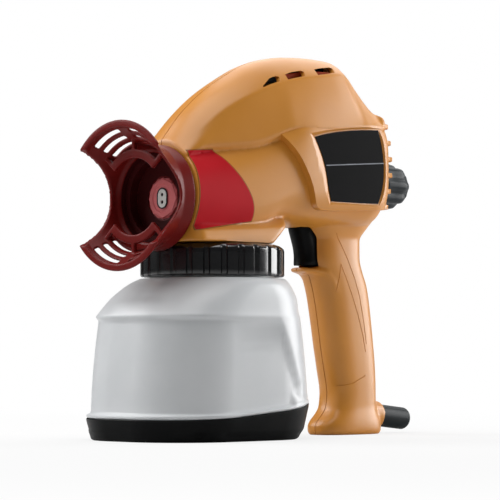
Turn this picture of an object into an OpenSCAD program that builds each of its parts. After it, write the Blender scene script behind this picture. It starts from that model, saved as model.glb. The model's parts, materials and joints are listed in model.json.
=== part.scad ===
// Airless paint sprayer with a magnet-driven piston pump, standing on its paint container.
// Z is up, the nozzle points along -X and the origin is on the floor under the container's neck.

/* [Container] */
// Height of the container's rim above the floor
container_h = 123.6; // [118:0.2:132]
// Half length of the container along the gun
container_half_l = 75; // [68:0.5:80]
// Half width of the container across the gun
container_half_w = 62; // [57:0.5:66]
// Corner radius of the container in plan
container_corner = 51; // [46:0.5:55]
// How far the body's centre lies in front of the neck
container_offset = 13.4; // [8:0.2:16]
// Wall of the container
container_wall = 2.2; // [1.6:0.1:3]
// Height of the shoulder crease above the floor
shoulder_z = 85; // [78:0.5:90]
// Depth of the recessed side panels
panel_depth = 2.4; // [1:0.1:3.5]
// Outer radius of the container's threaded neck
neck_r = 43.2; // [40:0.1:44.5]
// Wall of the neck
neck_wall = 3.4; // [2.4:0.1:5]

/* [Container foot] */
// Height of the foot's front edge
foot_h = 15.2; // [12:0.2:18]
// How far the foot's upper edge rises towards the rear
foot_rise = 12; // [4:0.5:16]
// Thickness of the foot
foot_wall = 2.6; // [2:0.1:3.5]
// How much the foot draws in at the floor
foot_inset = 4.6; // [2:0.2:7]

/* [Ring nut] */
// Outer radius of the ring nut over its ribs
nut_r = 50; // [48.5:0.1:50.2]
// Length of the nut's thread over the neck
thread_length = 11.6; // [9:0.2:14]
// Number of grip ribs
rib_count = 26; // [16:1:36]
// Depth of the grooves between the ribs
rib_depth = 1.6; // [0.8:0.1:2.4]
// Share of each rib pitch that the groove takes
groove_share = 0.42; // [0.25:0.01:0.6]
// Height of the sloping top of the nut
nut_chamfer = 3.5; // [2:0.1:5]

/* [Lid and pump] */
// Thickness of the lid gasket
gasket_t = 0.8; // [0.5:0.1:1.5]
// Thickness of the lid flange
flange_t = 5.2; // [4:0.1:7]
// Height of the boss that centres the nut above the flange
flange_boss_h = 4.7; // [3.8:0.1:6]
// Radius of the boss that centres the nut
flange_boss_r = 36.6; // [33:0.1:38]
// Radius of the column between flange and pump barrel
column_r = 20; // [18:0.2:23]
// Height of the spray axis above the underside of the head
spray_rise = 29.9; // [29:0.1:34]
// Radius of the pump barrel
barrel_r = 17; // [15:0.1:18.5]
// Half length of the pump barrel
barrel_half = 34; // [32:0.2:35]
// Radius of the front spigot that carries the tip holder
spigot_r = 11; // [9.5:0.1:12]
// Length of the spigot
spigot_length = 7.5; // [6:0.1:7.8]
// Outer radius of the steel pump cylinder
sleeve_r = 8.5; // [7.5:0.1:10]
// Radius of the pump piston
piston_r = 5; // [4:0.1:6]
// Working stroke of the piston
stroke = 3.1; // [2:0.1:3.6]
// Distance of the suction tube in front of the neck's axis
suction_x = 8; // [4:0.5:11]
// Outer radius of the suction tube
suction_r = 5; // [4:0.1:6]
// Bore radius of the suction tube
suction_bore = 3.4; // [2.4:0.1:3.6]
// How far the suction tube cranks outwards
suction_reach = 38; // [25:1:44]
// Radius of the return tube
return_r = 3.5; // [2.5:0.1:4.5]
// Length of the return tube below the flange
return_length = 30; // [15:1:45]

/* [Head] */
// How far the nose face stands in front of the pump's spigot
nose_reach = 7; // [6.3:0.1:7.3]
// Distance of the head's rear face behind the neck's axis
head_tail = 150; // [146:0.5:156]
// Height of the dome above the spray axis
head_rise = 108; // [104:0.5:114]
// Half width of the head over the dome's lower edge
head_half_w = 41.5; // [40:0.1:44]
// Radius of the nose
nose_r = 36.5; // [35.6:0.1:37.2]
// Wall left between the nose's opening and the underside of the head
nose_land = 0.5; // [0.4:0.1:1.5]
// Wall of the housing shells
shell_wall = 2.8; // [2.2:0.1:3.4]
// How far the frame round the side panel stands proud
frame_raise = 2.7; // [1:0.1:2.9]
// Height of the cooling slots
vent_h = 3.5; // [2.5:0.1:4.5]
// Corner radius of the skirt over the nut
skirt_corner = 7; // [4:0.5:10]
// Thickness of the fins across the rear face
fin_t = 3.4; // [2.4:0.1:4]
// How far the fins stand out of the rear face
fin_reach = 11; // [8:0.2:11.6]

/* [Handle] */
// Distance of the heel's centre behind the neck's axis
handle_x = 135; // [132:0.5:140]
// Half depth of the grip
grip_half_d = 25; // [23:0.2:27]
// Half width of the grip
grip_half_w = 15.4; // [14:0.1:17]
// How far the grip's top leans forward of the heel
grip_lean = 17; // [15.5:0.1:18]
// Half length of the heel
heel_half_l = 31.5; // [29:0.2:34]
// How far the finger rest stands in front of the grip
rest_reach = 11; // [8:0.2:13]

/* [Trigger] */
// Half width of the trigger
trigger_half_w = 9; // [7:0.1:9.5]
// How far the trigger stands in front of the grip
trigger_reach = 13.4; // [10:0.2:14.6]
// Height of the trigger's finger face
trigger_h = 27; // [23:0.5:30]
// Angle of the trigger's travel
trigger_swing = 8; // [4:0.5:9]
// Radius of the trigger pin
trigger_pin_r = 2.5; // [2:0.1:3]
// Travel of the switch plunger
plunger_travel = 3; // [2:0.1:3.4]

/* [Spray guard] */
// Radius of the guard's collar
collar_r = 36.2; // [35.4:0.1:36.6]
// Gap between the guard's collar and the nose face
collar_gap = 2.1; // [1.8:0.1:2.4]
// Depth of the collar
collar_depth = 9.6; // [8:0.2:12]
// Depth of the flared ears in front of the collar
ear_depth = 26; // [23:0.5:30]
// Radius of the ears at their lip
ear_r = 49.2; // [46:0.2:52]
// Wall of the guard
guard_wall = 2.6; // [2:0.1:3.2]
// Width of the ears' front lip
lip_w = 4.6; // [3:0.1:6]
// Outer radius of the ring bars
bar_r = 32; // [29:0.2:33]
// Width of the ring bars
bar_w = 6; // [4:0.1:7]
// Width of the slots in the ears
slot_w = 3.4; // [2:0.1:4]
// Radius of the tip holder across its corners
holder_r = 14.5; // [14:0.1:16]
// Distance between the two spray orifices
orifice_pitch = 5.1; // [4.4:0.1:5.8]
// Radius of a spray orifice
orifice_r = 1.25; // [0.6:0.05:1.6]

/* [Flow control] */
// Height of the knob above the spray axis
knob_rise = 20; // [19:0.5:24]
// Radius of the knob
knob_r = 17; // [14:0.2:19]
// Length of the knob
knob_length = 33; // [26:0.5:38]
// Number of grip flutes in the knob
flute_count = 8; // [5:1:10]
// Radius of the knob's shank
shank_r = 5; // [4.4:0.1:6]
// Radius of the adjusting rod
rod_r = 3; // [2.4:0.1:3.5]
// Travel of the adjusting rod
rod_travel = 1.5; // [1:0.1:2]

/* [Magnet] */
// Half width of the laminated core
core_half_w = 15; // [12:0.2:16]
// Length of the laminated core
core_length = 44; // [40:0.5:47]
// Height of the laminated core
core_h = 48; // [44:0.5:50]
// Width of the core's outer legs and yoke
core_leg = 7; // [6:0.2:8]
// Length of the bracket's cheeks and plate over the core
bracket_l = 30; // [22:0.5:36]
// Thickness of the rocker
rocker_t = 6.8; // [5:0.1:7.5]
// Half width of the rocker
rocker_half_w = 13; // [9:0.2:14]
// Height of the rocker's pin above the spray axis
rocker_rise = 39.5; // [38:0.5:41]
// Radius of the rocker's pin
rocker_pin_r = 2.5; // [2:0.1:3]

/* [Power inlet] */
// Radius of the inlet's shroud
inlet_r = 8.2; // [7.4:0.1:8.6]
// Length of the inlet outside the heel
inlet_length = 34; // [24:0.5:38]
// Downward tilt of the inlet
inlet_tilt = 6; // [2:0.5:7]

/* [Fits] */
// Radial clearance of a running fit
run = 0.05; // [0.02:0.01:0.08]
// Clearance between pieces that only pass each other
pass = 0.4; // [0.3:0.05:0.6]

/* [Hidden] */
$fn = 48;

// Colours.
TAN = "#dca055";
GUARD_RED = "#8c2b33";
BOSS_RED = "#c9767c";
BLACK = "#2a2b2d";
CLOUDY = "#d5d8dc";
STEEL = "#b4b7bb";
CAST = "#c7cacd";
COPPER = "#b8703a";
IVORY = "#efeee8";

// Heights, stacked from the floor upwards.
rim_gap = 0.1;
flange_z = container_h + rim_gap + gasket_t;
flange_top = flange_z + flange_t;
boss_top = flange_top + flange_boss_h;
skirt_gap = 0.2;
skirt_z = boss_top + skirt_gap;
spray_z = skirt_z + spray_rise;
nose_x = max(barrel_half + spigot_length + nose_reach, nut_r - 1.5);
nose_bore = spray_rise - nose_land;
head_length = nose_x + head_tail;
head_rear = head_tail;
knob_z = spray_z + knob_rise;
rocker_z = spray_z + rocker_rise;
head_top = spray_z + head_rise;
nut_z = container_h - thread_length;
nut_top = boss_top - pass;

// ---------------------------------------------------------------- helpers

function lerp(a, b, t) = a + (b - a) * t;

function smooth(t) =
    let (s = min(1, max(0, t)))
    s * s * (3 - 2 * s);

// Index of the table row that starts the span holding x.
function span(table, x, i = 0) =
    i >= len(table) - 2 || x < table[i + 1][0] ? i : span(table, x, i + 1);

// Slope of column k at row i that lets the curve pass the rows with no overshoot.
function slope(table, i, k) =
    let (
        last = len(table) - 1,
        before = i > 0 ? (table[i][k] - table[i - 1][k]) / (table[i][0] - table[i - 1][0]) : 0,
        after = i < last ? (table[i + 1][k] - table[i][k]) / (table[i + 1][0] - table[i][0]) : 0
    )
    i == 0 ? after : i == last ? before : before * after <= 0 ? 0 : 2 * before * after / (before + after);

// Value of column k at x, on a smooth curve through the table's rows.
function at(table, x, k) =
    let (
        i = span(table, x),
        a = table[i],
        b = table[i + 1],
        h = b[0] - a[0],
        t = min(1, max(0, (x - a[0]) / h)),
        m0 = slope(table, i, k) * h,
        m1 = slope(table, i + 1, k) * h
    )
    (2 * t * t * t - 3 * t * t + 1) * a[k] + (t * t * t - 2 * t * t + t) * m0
        + (3 * t * t - 2 * t * t * t) * b[k] + (t * t * t - t * t) * m1;

// One side of a superellipse from top to bottom, as [half width, height] pairs.
function bulge_side(half_w, up, down, n_up, n_down, steps) = [
    for (i = [0:steps])
        let (angle = 90 - 180 * i / steps, s = sin(angle), n = s > 0 ? n_up : n_down)
        [half_w * pow(abs(cos(angle)), 2 / n), (s > 0 ? up : -down) * pow(abs(s), 2 / n)]
];

function total(list, i = 0) = i == len(list) - 1 ? list[i] : list[i] + total(list, i + 1);

// Whether a ring turns clockwise, seen against the direction in which the skin runs.
function clockwise(ring, next) =
    let (normal = total([for (j = [1:len(ring) - 2]) cross(ring[j] - ring[0], ring[j + 1] - ring[0])]))
    normal * (total(next) - total(ring)) < 0;

// Closed skin over rings of equal point count.
module skin(rings) {
    n = len(rings[0]);
    m = len(rings);
    cw = clockwise(rings[0], rings[1]);
    sides = [
        for (i = [0:m - 2], j = [0:n - 1])
            let (a = i * n + j, b = i * n + (j + 1) % n, c = a + n, d = b + n)
            each cw ? [[a, b, d], [a, d, c]] : [[a, d, b], [a, c, d]]
    ];
    up = [for (j = [0:n - 1]) j];
    down = [for (j = [n - 1:-1:0]) j];
    last = (m - 1) * n;
    ends = cw ? [down, [for (j = up) last + j]] : [up, [for (j = down) last + j]];
    polyhedron(points = [for (ring = rings) each ring], faces = concat(sides, ends));
}

// Rounded rectangle in plan, or a circle where the corner equals both half sizes.
function plan(half_l, half_w, corner, centre, z, steps) = [
    for (q = [0:3], i = [0:steps - 1])
        let (
            angle = 90 * q + 90 * i / (steps - 1),
            sx = q == 0 || q == 3 ? 1 : -1,
            sy = q < 2 ? 1 : -1
        )
        [centre + sx * (half_l - corner) + corner * cos(angle), sy * (half_w - corner) + corner * sin(angle), z]
];

// Coil of round wire along Z, one unbroken tube with flat ends.
module coil_spring(coil_r, wire_r, length, turns) {
    sides = 6;
    per_turn = 9;
    count = turns * per_turn;
    rise = (length - 2 * wire_r) / count;
    skin([
        for (i = [0:count])
            [for (j = [0:sides - 1])
                let (turn = 360 * i / per_turn, ring = 360 * j / sides, r = coil_r - wire_r + wire_r * cos(ring))
                [r * cos(turn), -r * sin(turn), wire_r + rise * i + wire_r * sin(ring)]]
    ]);
}

// Places children with their Z axis along the spray axis, forwards.
module along_spray(forward = 0) {
    translate([-forward, 0, spray_z]) rotate([0, -90, 0]) children();
}

// Pin or boss along Y, centred on the parting plane.
module cross_pin(x, z, r, half) {
    translate([x, half, z]) rotate([90, 0, 0]) cylinder(r = r, h = 2 * half);
}

module tube(outer, inner, length) {
    difference() {
        cylinder(r = outer, h = length);
        translate([0, 0, -1]) cylinder(r = inner, h = length + 2);
    }
}

// ---------------------------------------------------------------- container

floor_t = 3;
foot_top_l = container_half_l + 0.4;
body_bottom = foot_wall + 0.4;
neck_base = nut_z - 1.6;
rear_corner_x = 38;

// Rows: height, half length, half width, corner radius, centre behind the neck's axis.
CONTAINER_ROWS = [
    [body_bottom, container_half_l - foot_wall - foot_inset - 2, container_half_w - foot_wall - foot_inset,
        container_corner - foot_wall - foot_inset, -container_offset - 1.5],
    [foot_h, container_half_l - 0.2, container_half_w - 0.1, container_corner, -container_offset],
    [shoulder_z - 1.5, container_half_l - 6, container_half_w - 2.2, container_corner - 1, -container_offset],
    [shoulder_z + 2, container_half_l - 7, container_half_w - 3, container_corner, -container_offset + 1],
    [lerp(shoulder_z, neck_base, 0.45), container_half_l - 11, container_half_w - 4.5, container_corner + 1,
        -container_offset * 0.6],
    [lerp(shoulder_z, neck_base, 0.72), nut_r + 9, nut_r + 6, nut_r + 3.5, -container_offset * 0.35],
    [lerp(shoulder_z, neck_base, 0.9), nut_r + 4.6, nut_r + 4, nut_r + 4, -container_offset * 0.15],
    [neck_base, nut_r + 0.5, nut_r + 0.5, nut_r + 0.5, 0]
];

function foot_edge(x) =
    let (t = (x + container_offset + container_half_l) / (2 * container_half_l))
    foot_h + foot_rise * t * t;

// How far the surface is drawn in at a point, by the panel that wraps the front and both sides.
function panel_inset(x, z) =
    let (rib_x = lerp(rear_corner_x, rear_corner_x - 32, (z - foot_h) / (shoulder_z - foot_h)))
    panel_depth * smooth((rib_x - x) / 5) * smooth((shoulder_z - 1 - z) / 3.5) * smooth((z - foot_h + 2) / 2);

function container_ring(z, inset, steps) =
    let (
        half_l = at(CONTAINER_ROWS, z, 1) - inset,
        half_w = at(CONTAINER_ROWS, z, 2) - inset,
        corner = min(half_l, half_w, at(CONTAINER_ROWS, z, 3) - inset),
        centre = at(CONTAINER_ROWS, z, 4)
    )
    [
        for (p = plan(half_l, half_w, corner, centre, z, steps))
            let (d = norm([p[0] - centre, p[1]]), k = (d - panel_inset(p[0], z)) / d)
            [centre + (p[0] - centre) * k, p[1] * k, z]
    ];

// Ring that runs parallel to the foot's rising edge.
function edge_ring(inset, above, steps) = [
    for (p = plan(container_half_l - inset, container_half_w - inset, container_corner - inset,
            -container_offset, 0, steps))
        [p[0], p[1], foot_edge(p[0]) + above]
];

function circle_ring(r, z, steps) = plan(r, r, r, 0, z, steps);

module container() {
    steps = 12;
    neck_bore = neck_r - neck_wall;
    outer_z = [
        foot_h + foot_rise + 4, lerp(foot_h, shoulder_z, 0.5), lerp(foot_h, shoulder_z, 0.75), shoulder_z - 6,
        shoulder_z - 3.5, shoulder_z - 1.5, shoulder_z + 2, shoulder_z + 8, shoulder_z + 14, shoulder_z + 19,
        shoulder_z + 22.5, neck_base
    ];
    inner_z = [neck_base - 3, shoulder_z + 15, shoulder_z + 5, shoulder_z - 3, lerp(foot_h, shoulder_z, 0.5)];
    inside = container_wall + panel_depth;
    color(CLOUDY) skin(concat(
        [
            container_ring(body_bottom, 0, steps),
            edge_ring(foot_wall + 0.8, -3, steps),
            edge_ring(0.5, -0.2, steps),
            edge_ring(0.1, 1.6, steps)
        ],
        [for (z = outer_z) container_ring(z, 0, steps)],
        [
            circle_ring(neck_r, neck_base, steps),
            circle_ring(neck_r, container_h, steps),
            circle_ring(neck_bore, container_h, steps),
            circle_ring(neck_bore, neck_base - 1, steps)
        ],
        [for (z = inner_z) container_ring(z, container_wall, steps)],
        [
            edge_ring(inside, 4, steps),
            edge_ring(inside + foot_wall, -1.4, steps),
            container_ring(body_bottom + floor_t, container_wall + 1.5, steps)
        ]
    ));
}

function foot_ring(grow, draw, level, rising, steps) = [
    for (p = plan(container_half_l + grow, container_half_w + grow, container_corner + grow,
            -container_offset - draw, 0, steps))
        [p[0], p[1], rising ? foot_edge(p[0]) + level : level]
];

module container_foot() {
    steps = 12;
    gap = 0.6;
    color(BLACK) skin([
        foot_ring(-foot_inset - 1.6, 3, 0, false, steps),
        foot_ring(-foot_inset, 3, 1.6, false, steps),
        foot_ring(-foot_inset * 0.4, 1.2, foot_h / 2, false, steps),
        foot_ring(0.5, 0, -2.5, true, steps),
        foot_ring(0.7, 0, -0.9, true, steps),
        foot_ring(0.2, 0, -0.3, true, steps),
        foot_ring(-0.4 - gap, 0, -1.1, true, steps),
        foot_ring(-foot_wall - 0.8 + gap, 0, -3.1, true, steps),
        foot_ring(-foot_wall - foot_inset + gap, 1.5, foot_wall, false, steps)
    ]);
}

// ---------------------------------------------------------------- nut, lid and pump

module ring_nut() {
    groove_w = 2 * PI * nut_r / rib_count * groove_share;
    inner = flange_r + pass;
    color(BLACK) difference() {
        rotate_extrude() polygon([
            [inner, nut_z], [nut_r - 0.8, nut_z], [nut_r, nut_z + 0.8], [nut_r, nut_top - nut_chamfer],
            [flange_r, nut_top], [flange_boss_r + 2 * run, nut_top],
            [flange_boss_r + 2 * run, flange_top + 0.2], [inner, flange_top + 0.2]
        ]);
        for (i = [0:rib_count - 1])
            rotate(360 * i / rib_count)
                translate([nut_r - rib_depth, -groove_w / 2, nut_z - 1])
                    cube([rib_depth + 1, groove_w, nut_top - nut_chamfer - nut_z + 0.2]);
    }
}

flange_r = neck_r + 0.1;

module lid_gasket() {
    color(BLACK) translate([0, 0, flange_z - gasket_t]) tube(neck_r - 0.4, neck_r - neck_wall, gasket_t);
}

return_x = 12.5;
suction_socket = 13;
chamber_r = 5;
chamber_start = 20;

module pump_housing() {
    color(CAST) difference() {
        union() {
            translate([0, 0, flange_z]) cylinder(r = flange_r, h = flange_t);
            translate([0, 0, flange_top - 1]) cylinder(r = flange_boss_r, h = flange_boss_h + 1);
            translate([0, 0, boss_top - 1]) cylinder(r = column_r, h = spray_z - boss_top);
            along_spray(-barrel_half) cylinder(r = barrel_r, h = 2 * barrel_half);
            along_spray(barrel_half - 1) cylinder(r = spigot_r, h = spigot_length + 1);
        }
        along_spray(-barrel_half - 1) cylinder(r = sleeve_r, h = barrel_half + chamber_start + 1);
        along_spray(chamber_start - 1) cylinder(r = chamber_r, h = barrel_half - chamber_start + 1);
        along_spray(barrel_half - 1) cylinder(r = 3, h = spigot_length + 3);
        translate([-suction_x, 0, flange_z - 1]) cylinder(r = suction_r + run, h = suction_socket + 1);
        translate([-suction_x, 0, flange_z]) cylinder(r = 3, h = spray_z - flange_z);
        translate([return_x, 0, flange_z - 1]) cylinder(r = return_r, h = 7);
    }
}

module pump_cylinder() {
    color(STEEL) difference() {
        along_spray(-barrel_half) cylinder(r = sleeve_r, h = barrel_half + chamber_start);
        along_spray(-barrel_half - 1) cylinder(r = piston_r, h = barrel_half + chamber_start - 1);
        along_spray(0) cylinder(r = 1.8, h = chamber_start + 1);
        translate([-suction_x, 0, spray_z - sleeve_r - 1]) cylinder(r = 2.4, h = sleeve_r + 1);
    }
}

piston_front = suction_x - 3;
piston_head = 9;
rocker_front = barrel_half + 16.2;
spring_room = 12;

// The head is crowned so that the rocker's foot can roll on it.
module piston() {
    neck = piston_r - run;
    head_start = barrel_half + spring_room;
    color(STEEL) along_spray() rotate_extrude() polygon([
        [0, -rocker_front + 0.2], [3, -rocker_front + 0.4], [6, -rocker_front + 0.9],
        [piston_head, -rocker_front + 1.9], [piston_head, -head_start], [neck, -head_start],
        [neck, piston_front], [0, piston_front]
    ]);
}

module piston_spring() {
    color(STEEL) along_spray(-barrel_half - spring_room) coil_spring(8.4, 0.9, spring_room, 4);
}

module outlet_valve() {
    color(STEEL) union() {
        along_spray(chamber_start + 0.05) cylinder(r = chamber_r - 0.3, h = 3);
        along_spray(chamber_start + 3) cylinder(r = 2, h = 4);
    }
}

module outlet_valve_spring() {
    color(STEEL) along_spray(chamber_start + 3.1)
        coil_spring(3.8, 0.5, barrel_half - chamber_start - 4.2, 5);
}

crank_z = shoulder_z - 4;
filter_z = body_bottom + floor_t + 4;
filter_h = 11;

module suction_tube() {
    lower = [-suction_x - suction_reach, 0, filter_z + filter_h - 2];
    upper = [-suction_x, 0, crank_z];
    slant = norm(upper - lower);
    tilt = atan2(suction_reach, upper[2] - lower[2]);
    color(IVORY) difference() {
        union() {
            translate([0, 0, 0]) translate(upper) cylinder(r = suction_r, h = flange_z + suction_socket - 1 - crank_z);
            translate(upper) sphere(r = suction_r);
            translate(upper) rotate([0, 180 + tilt, 0]) cylinder(r = suction_r, h = slant);
        }
        translate(upper) cylinder(r = suction_bore, h = flange_z + suction_socket - crank_z);
        translate(upper) sphere(r = suction_bore);
        translate(upper) rotate([0, 180 + tilt, 0]) cylinder(r = suction_bore, h = slant + 1);
    }
}

module suction_filter() {
    color(BLACK) translate([-suction_x - suction_reach, 0, filter_z]) difference() {
        cylinder(r = suction_r + 3.5, h = filter_h);
        translate([0, 0, 2]) cylinder(r = suction_r + 2, h = filter_h);
        for (i = [0:7])
            rotate(45 * i) translate([suction_r, -1, 3.5]) cube([6, 2, filter_h - 6]);
    }
}

module return_tube() {
    color(IVORY) translate([return_x, 0, flange_z - return_length]) tube(return_r, return_r - 1, return_length + 5);
}

// ---------------------------------------------------------------- spray guard

ear_power = 0.0235;
rim_forward = nose_x + collar_gap + collar_depth;
lip_forward = rim_forward + ear_depth;
back_forward = nose_x - 5;
bar_forward = rim_forward + 0.5 * ear_depth;
sleeve_outer = nose_bore - pass;
sleeve_front = nose_x + collar_gap + guard_wall;

// Radius of the flared wall's outer face, from the rim (0) to the lip (1).
function flare_r(t) = lerp(collar_r - 0.6, ear_r, 0.35 * t + 0.65 * t * t);

function flare_points(inset, steps) = [
    for (i = [0:steps])
        let (t = i / steps)
        [flare_r(t) - inset * (1 - 0.35 * t), rim_forward + ear_depth * t + inset * 0.35 * t]
];

module guard_revolve() {
    steps = 8;
    bore = collar_r - guard_wall - 3;
    outer = flare_points(0, steps);
    inner = flare_points(guard_wall, steps);
    rotate_extrude() polygon(concat(
        [[sleeve_outer, nose_x + collar_gap], [collar_r, nose_x + collar_gap]],
        outer,
        [
            [ear_r + 1.6, lip_forward + 0.4], [ear_r + 1.6, lip_forward + 2.2], [ear_r + 0.9, lip_forward + 2.8],
            [ear_r - lip_w + 1.6, lip_forward + 2.8]
        ],
        [for (i = [steps - 1:-1:0]) inner[i]],
        [[bore, rim_forward - 2], [bore, sleeve_front], [sleeve_outer, sleeve_front]]
    ));
}

// Cup that seats in the guard's collar, turns inside the nose and holds the tip holder.
module guard_sleeve() {
    hub = holder_r - 0.6;
    inner = sleeve_outer - guard_wall;
    color(GUARD_RED) along_spray() rotate_extrude() polygon([
        [hub, back_forward], [sleeve_outer, back_forward], [sleeve_outer, sleeve_front], [inner, sleeve_front],
        [inner, back_forward + guard_wall], [hub, back_forward + guard_wall]
    ]);
}

// Side opening between the ears, a parabola seen across the gun.
module guard_mouth() {
    reach = 40;
    apex = rim_forward + 3.2;
    curve = [for (s = [-reach:4:reach]) [s, apex + ear_power * s * s]];
    rotate([90, 0, 0]) linear_extrude(height = 200, center = true)
        polygon(concat(curve, [[reach, 200], [-reach, 200]]));
}

module guard_slot(t, start) {
    r = flare_r(t) - guard_wall / 2;
    forward = rim_forward + ear_depth * t;
    tilt = 52 * t;
    rotate(start) rotate_extrude(angle = 34)
        translate([r, forward]) rotate(-tilt) square([guard_wall * 3.4, slot_w], center = true);
}

module spray_guard() {
    color(GUARD_RED) along_spray() union() {
        difference() {
            guard_revolve();
            guard_mouth();
            for (side = [0, 180], start = [7, -41], t = [0.38, 0.62, 0.84])
                rotate(side) guard_slot(t, start);
        }
        for (side = [0, 180]) rotate(side) {
            rotate(-46) rotate_extrude(angle = 92)
                translate([bar_r - bar_w, bar_forward - 1.4]) square([bar_w, 2.8]);
            for (turn = [-45, 0, 45])
                rotate(turn) translate([bar_r - 1, -1.3, bar_forward - 1.4])
                    cube([flare_r(0.5) - guard_wall - bar_r + 2.2, 2.6, 2.8]);
        }
    }
}

holder_front = nose_x - 1.5;
holder_seat = barrel_half + spigot_length + 0.5;
holder_back = barrel_half + 0.5;
pill_r = 4.1;

module pill(length) {
    for (s = [-1, 1]) translate([s * orifice_pitch / 2 * 0.86, 0, 0]) cylinder(r = pill_r, h = length);
    translate([-orifice_pitch / 2 * 0.86, -pill_r, 0]) cube([orifice_pitch * 0.86, 2 * pill_r, length]);
}

module tip_holder() {
    color(BOSS_RED) along_spray() difference() {
        union() {
            translate([0, 0, holder_back]) cylinder(r = holder_r - 0.6, h = back_forward + 3 - holder_back);
            intersection() {
                translate([0, 0, back_forward + 2.5])
                    rotate(22.5) cylinder(r = holder_r, h = holder_front - back_forward - 2.5, $fn = 8);
                translate([0, 0, back_forward + 2])
                    cylinder(r1 = holder_r + 2, r2 = holder_r - 1.4, h = holder_front - back_forward - 2);
            }
        }
        translate([0, 0, holder_back - 1]) cylinder(r = spigot_r + run, h = holder_seat - holder_back + 1);
        translate([0, 0, holder_seat - 1]) pill(20);
    }
}

module tip_insert() {
    color(IVORY) along_spray() difference() {
        translate([0, 0, holder_seat + 0.1]) pill(holder_front + 0.7 - holder_seat);
        for (s = [-1, 1]) translate([s * orifice_pitch / 2, 0, holder_seat - 1]) {
            cylinder(r = orifice_r * 0.6, h = 30);
            translate([0, 0, holder_front - holder_seat]) cylinder(r = orifice_r, h = 6);
        }
    }
}

module tip_seal() {
    color(BLACK) along_spray(barrel_half + spigot_length + 0.05) tube(spigot_r - 0.4, 5.6, 0.45);
}

// ---------------------------------------------------------------- housing outline

// Rows: share of the head's length, crown height, brow half width, brow height, edge half width,
// edge height, as shares of the head's rise and half width.
DOME_ROWS = [
    [0, 0.367, 0.45, 0.306, 0.60, 0.236],
    [0.093, 0.556, 0.52, 0.449, 0.65, 0.282],
    [0.194, 0.704, 0.59, 0.583, 0.735, 0.315],
    [0.295, 0.816, 0.65, 0.676, 0.82, 0.356],
    [0.385, 0.901, 0.68, 0.741, 0.89, 0.435],
    [0.471, 0.953, 0.70, 0.790, 0.95, 0.490],
    [0.577, 0.988, 0.705, 0.832, 0.99, 0.496],
    [0.698, 1, 0.68, 0.868, 1, 0.509],
    [0.783, 0.996, 0.60, 0.889, 1, 0.523],
    [0.829, 0.972, 0.51, 0.868, 1, 0.530],
    [0.859, 0.900, 0.555, 0.796, 0.985, 0.534],
    [0.894, 0.802, 0.59, 0.722, 0.96, 0.538],
    [0.932, 0.678, 0.665, 0.645, 0.91, 0.541],
    [0.948, 0.652, 0.80, 0.622, 0.875, 0.541],
    [0.975, 0.632, 0.735, 0.606, 0.765, 0.541],
    [1, 0.585, 0.55, 0.568, 0.575, 0.541]
];

// Rows: share of the head's length, half width, centre, height up, height down, two bulge powers.
BODY_ROWS = [
    [0, nose_r, 0, nose_r, nose_r, 2, 2],
    [0.118, nose_r + 0.7, 0.5, 39, 36.5, 2.2, 2.05],
    [0.244, nose_r + 1.3, 3.5, 42, 37, 2.5, 2.15],
    [0.345, nose_r + 1.7, 7.5, 44, 33, 2.9, 2.3],
    [0.421, nose_r + 1.9, 11.5, 45, 27.5, 3.3, 2.5],
    [0.547, nose_r + 2.1, 19.5, 42, 34.5, 4.5, 2.8],
    [0.748, nose_r + 2.1, 23.5, 40, 38.5, 5, 2.9],
    [0.889, nose_r + 1.9, 24.5, 38, 39.5, 5, 3],
    [0.945, nose_r - 0.5, 25.5, 37, 39, 4.5, 3],
    [0.980, nose_r - 5, 26, 36, 35, 4, 2.8],
    [1, nose_r - 11, 26.5, 33.5, 29, 3.6, 2.6]
];

function head_x(u) = u * head_length - nose_x;

// Half section of the dome at a share of the head's length, drawn in by the wall on the inside.
function dome_ring(u, inset, steps) =
    let (
        x = head_x(u) + (u == 0 ? inset : u == 1 ? -inset : 0),
        crown = head_rise * at(DOME_ROWS, u, 1) - inset,
        brow_y = head_half_w * at(DOME_ROWS, u, 2) - inset * 0.7,
        brow_z = head_rise * at(DOME_ROWS, u, 3) - inset * 0.7,
        edge_y = head_half_w * at(DOME_ROWS, u, 4) - inset,
        edge_z = head_rise * at(DOME_ROWS, u, 5),
        bend_y = brow_y * 0.56
    )
    concat(
        [
            for (i = [0:steps])
                let (t = i / steps, s = 1 - t)
                [x, -(2 * s * t * bend_y + t * t * brow_y), spray_z + s * s * crown + 2 * s * t * crown + t * t * brow_z]
        ],
        [
            for (t = [0.35, 0.7, 1])
                [x, -lerp(brow_y, edge_y, t) - 0.8 * sin(180 * t), spray_z + lerp(brow_z, edge_z, t)]
        ],
        [[x, -(edge_y - 4), spray_z + edge_z - 1.2], [x, 0, spray_z + edge_z - 8]]
    );

// Half section of the body below the dome.
function body_ring(u, inset, steps) =
    let (
        x = head_x(u) + (u == 0 ? inset : u == 1 ? -inset : 0),
        low = skirt_z + max(0, inset),
        side = bulge_side(at(BODY_ROWS, u, 1) - inset, at(BODY_ROWS, u, 3) - inset, at(BODY_ROWS, u, 4) - inset,
            at(BODY_ROWS, u, 5), at(BODY_ROWS, u, 6), steps)
    )
    [for (p = side) [x, -p[0], max(low, spray_z + at(BODY_ROWS, u, 2) + p[1])]];

HEAD_SHARES = [
    0, 0.06, 0.12, 0.18, 0.24, 0.3, 0.36, 0.42, 0.49, 0.58, 0.68, 0.76, 0.81, 0.84, 0.87, 0.905, 0.932, 0.948,
    0.975, 1
];
CAVITY_SHARES = [0, 0.12, 0.24, 0.36, 0.49, 0.68, 0.81, 0.87, 0.932, 1];
FRAME_SHARES = [0.36, 0.42, 0.49, 0.58, 0.76, 0.87, 0.932, 0.975, 1];

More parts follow.
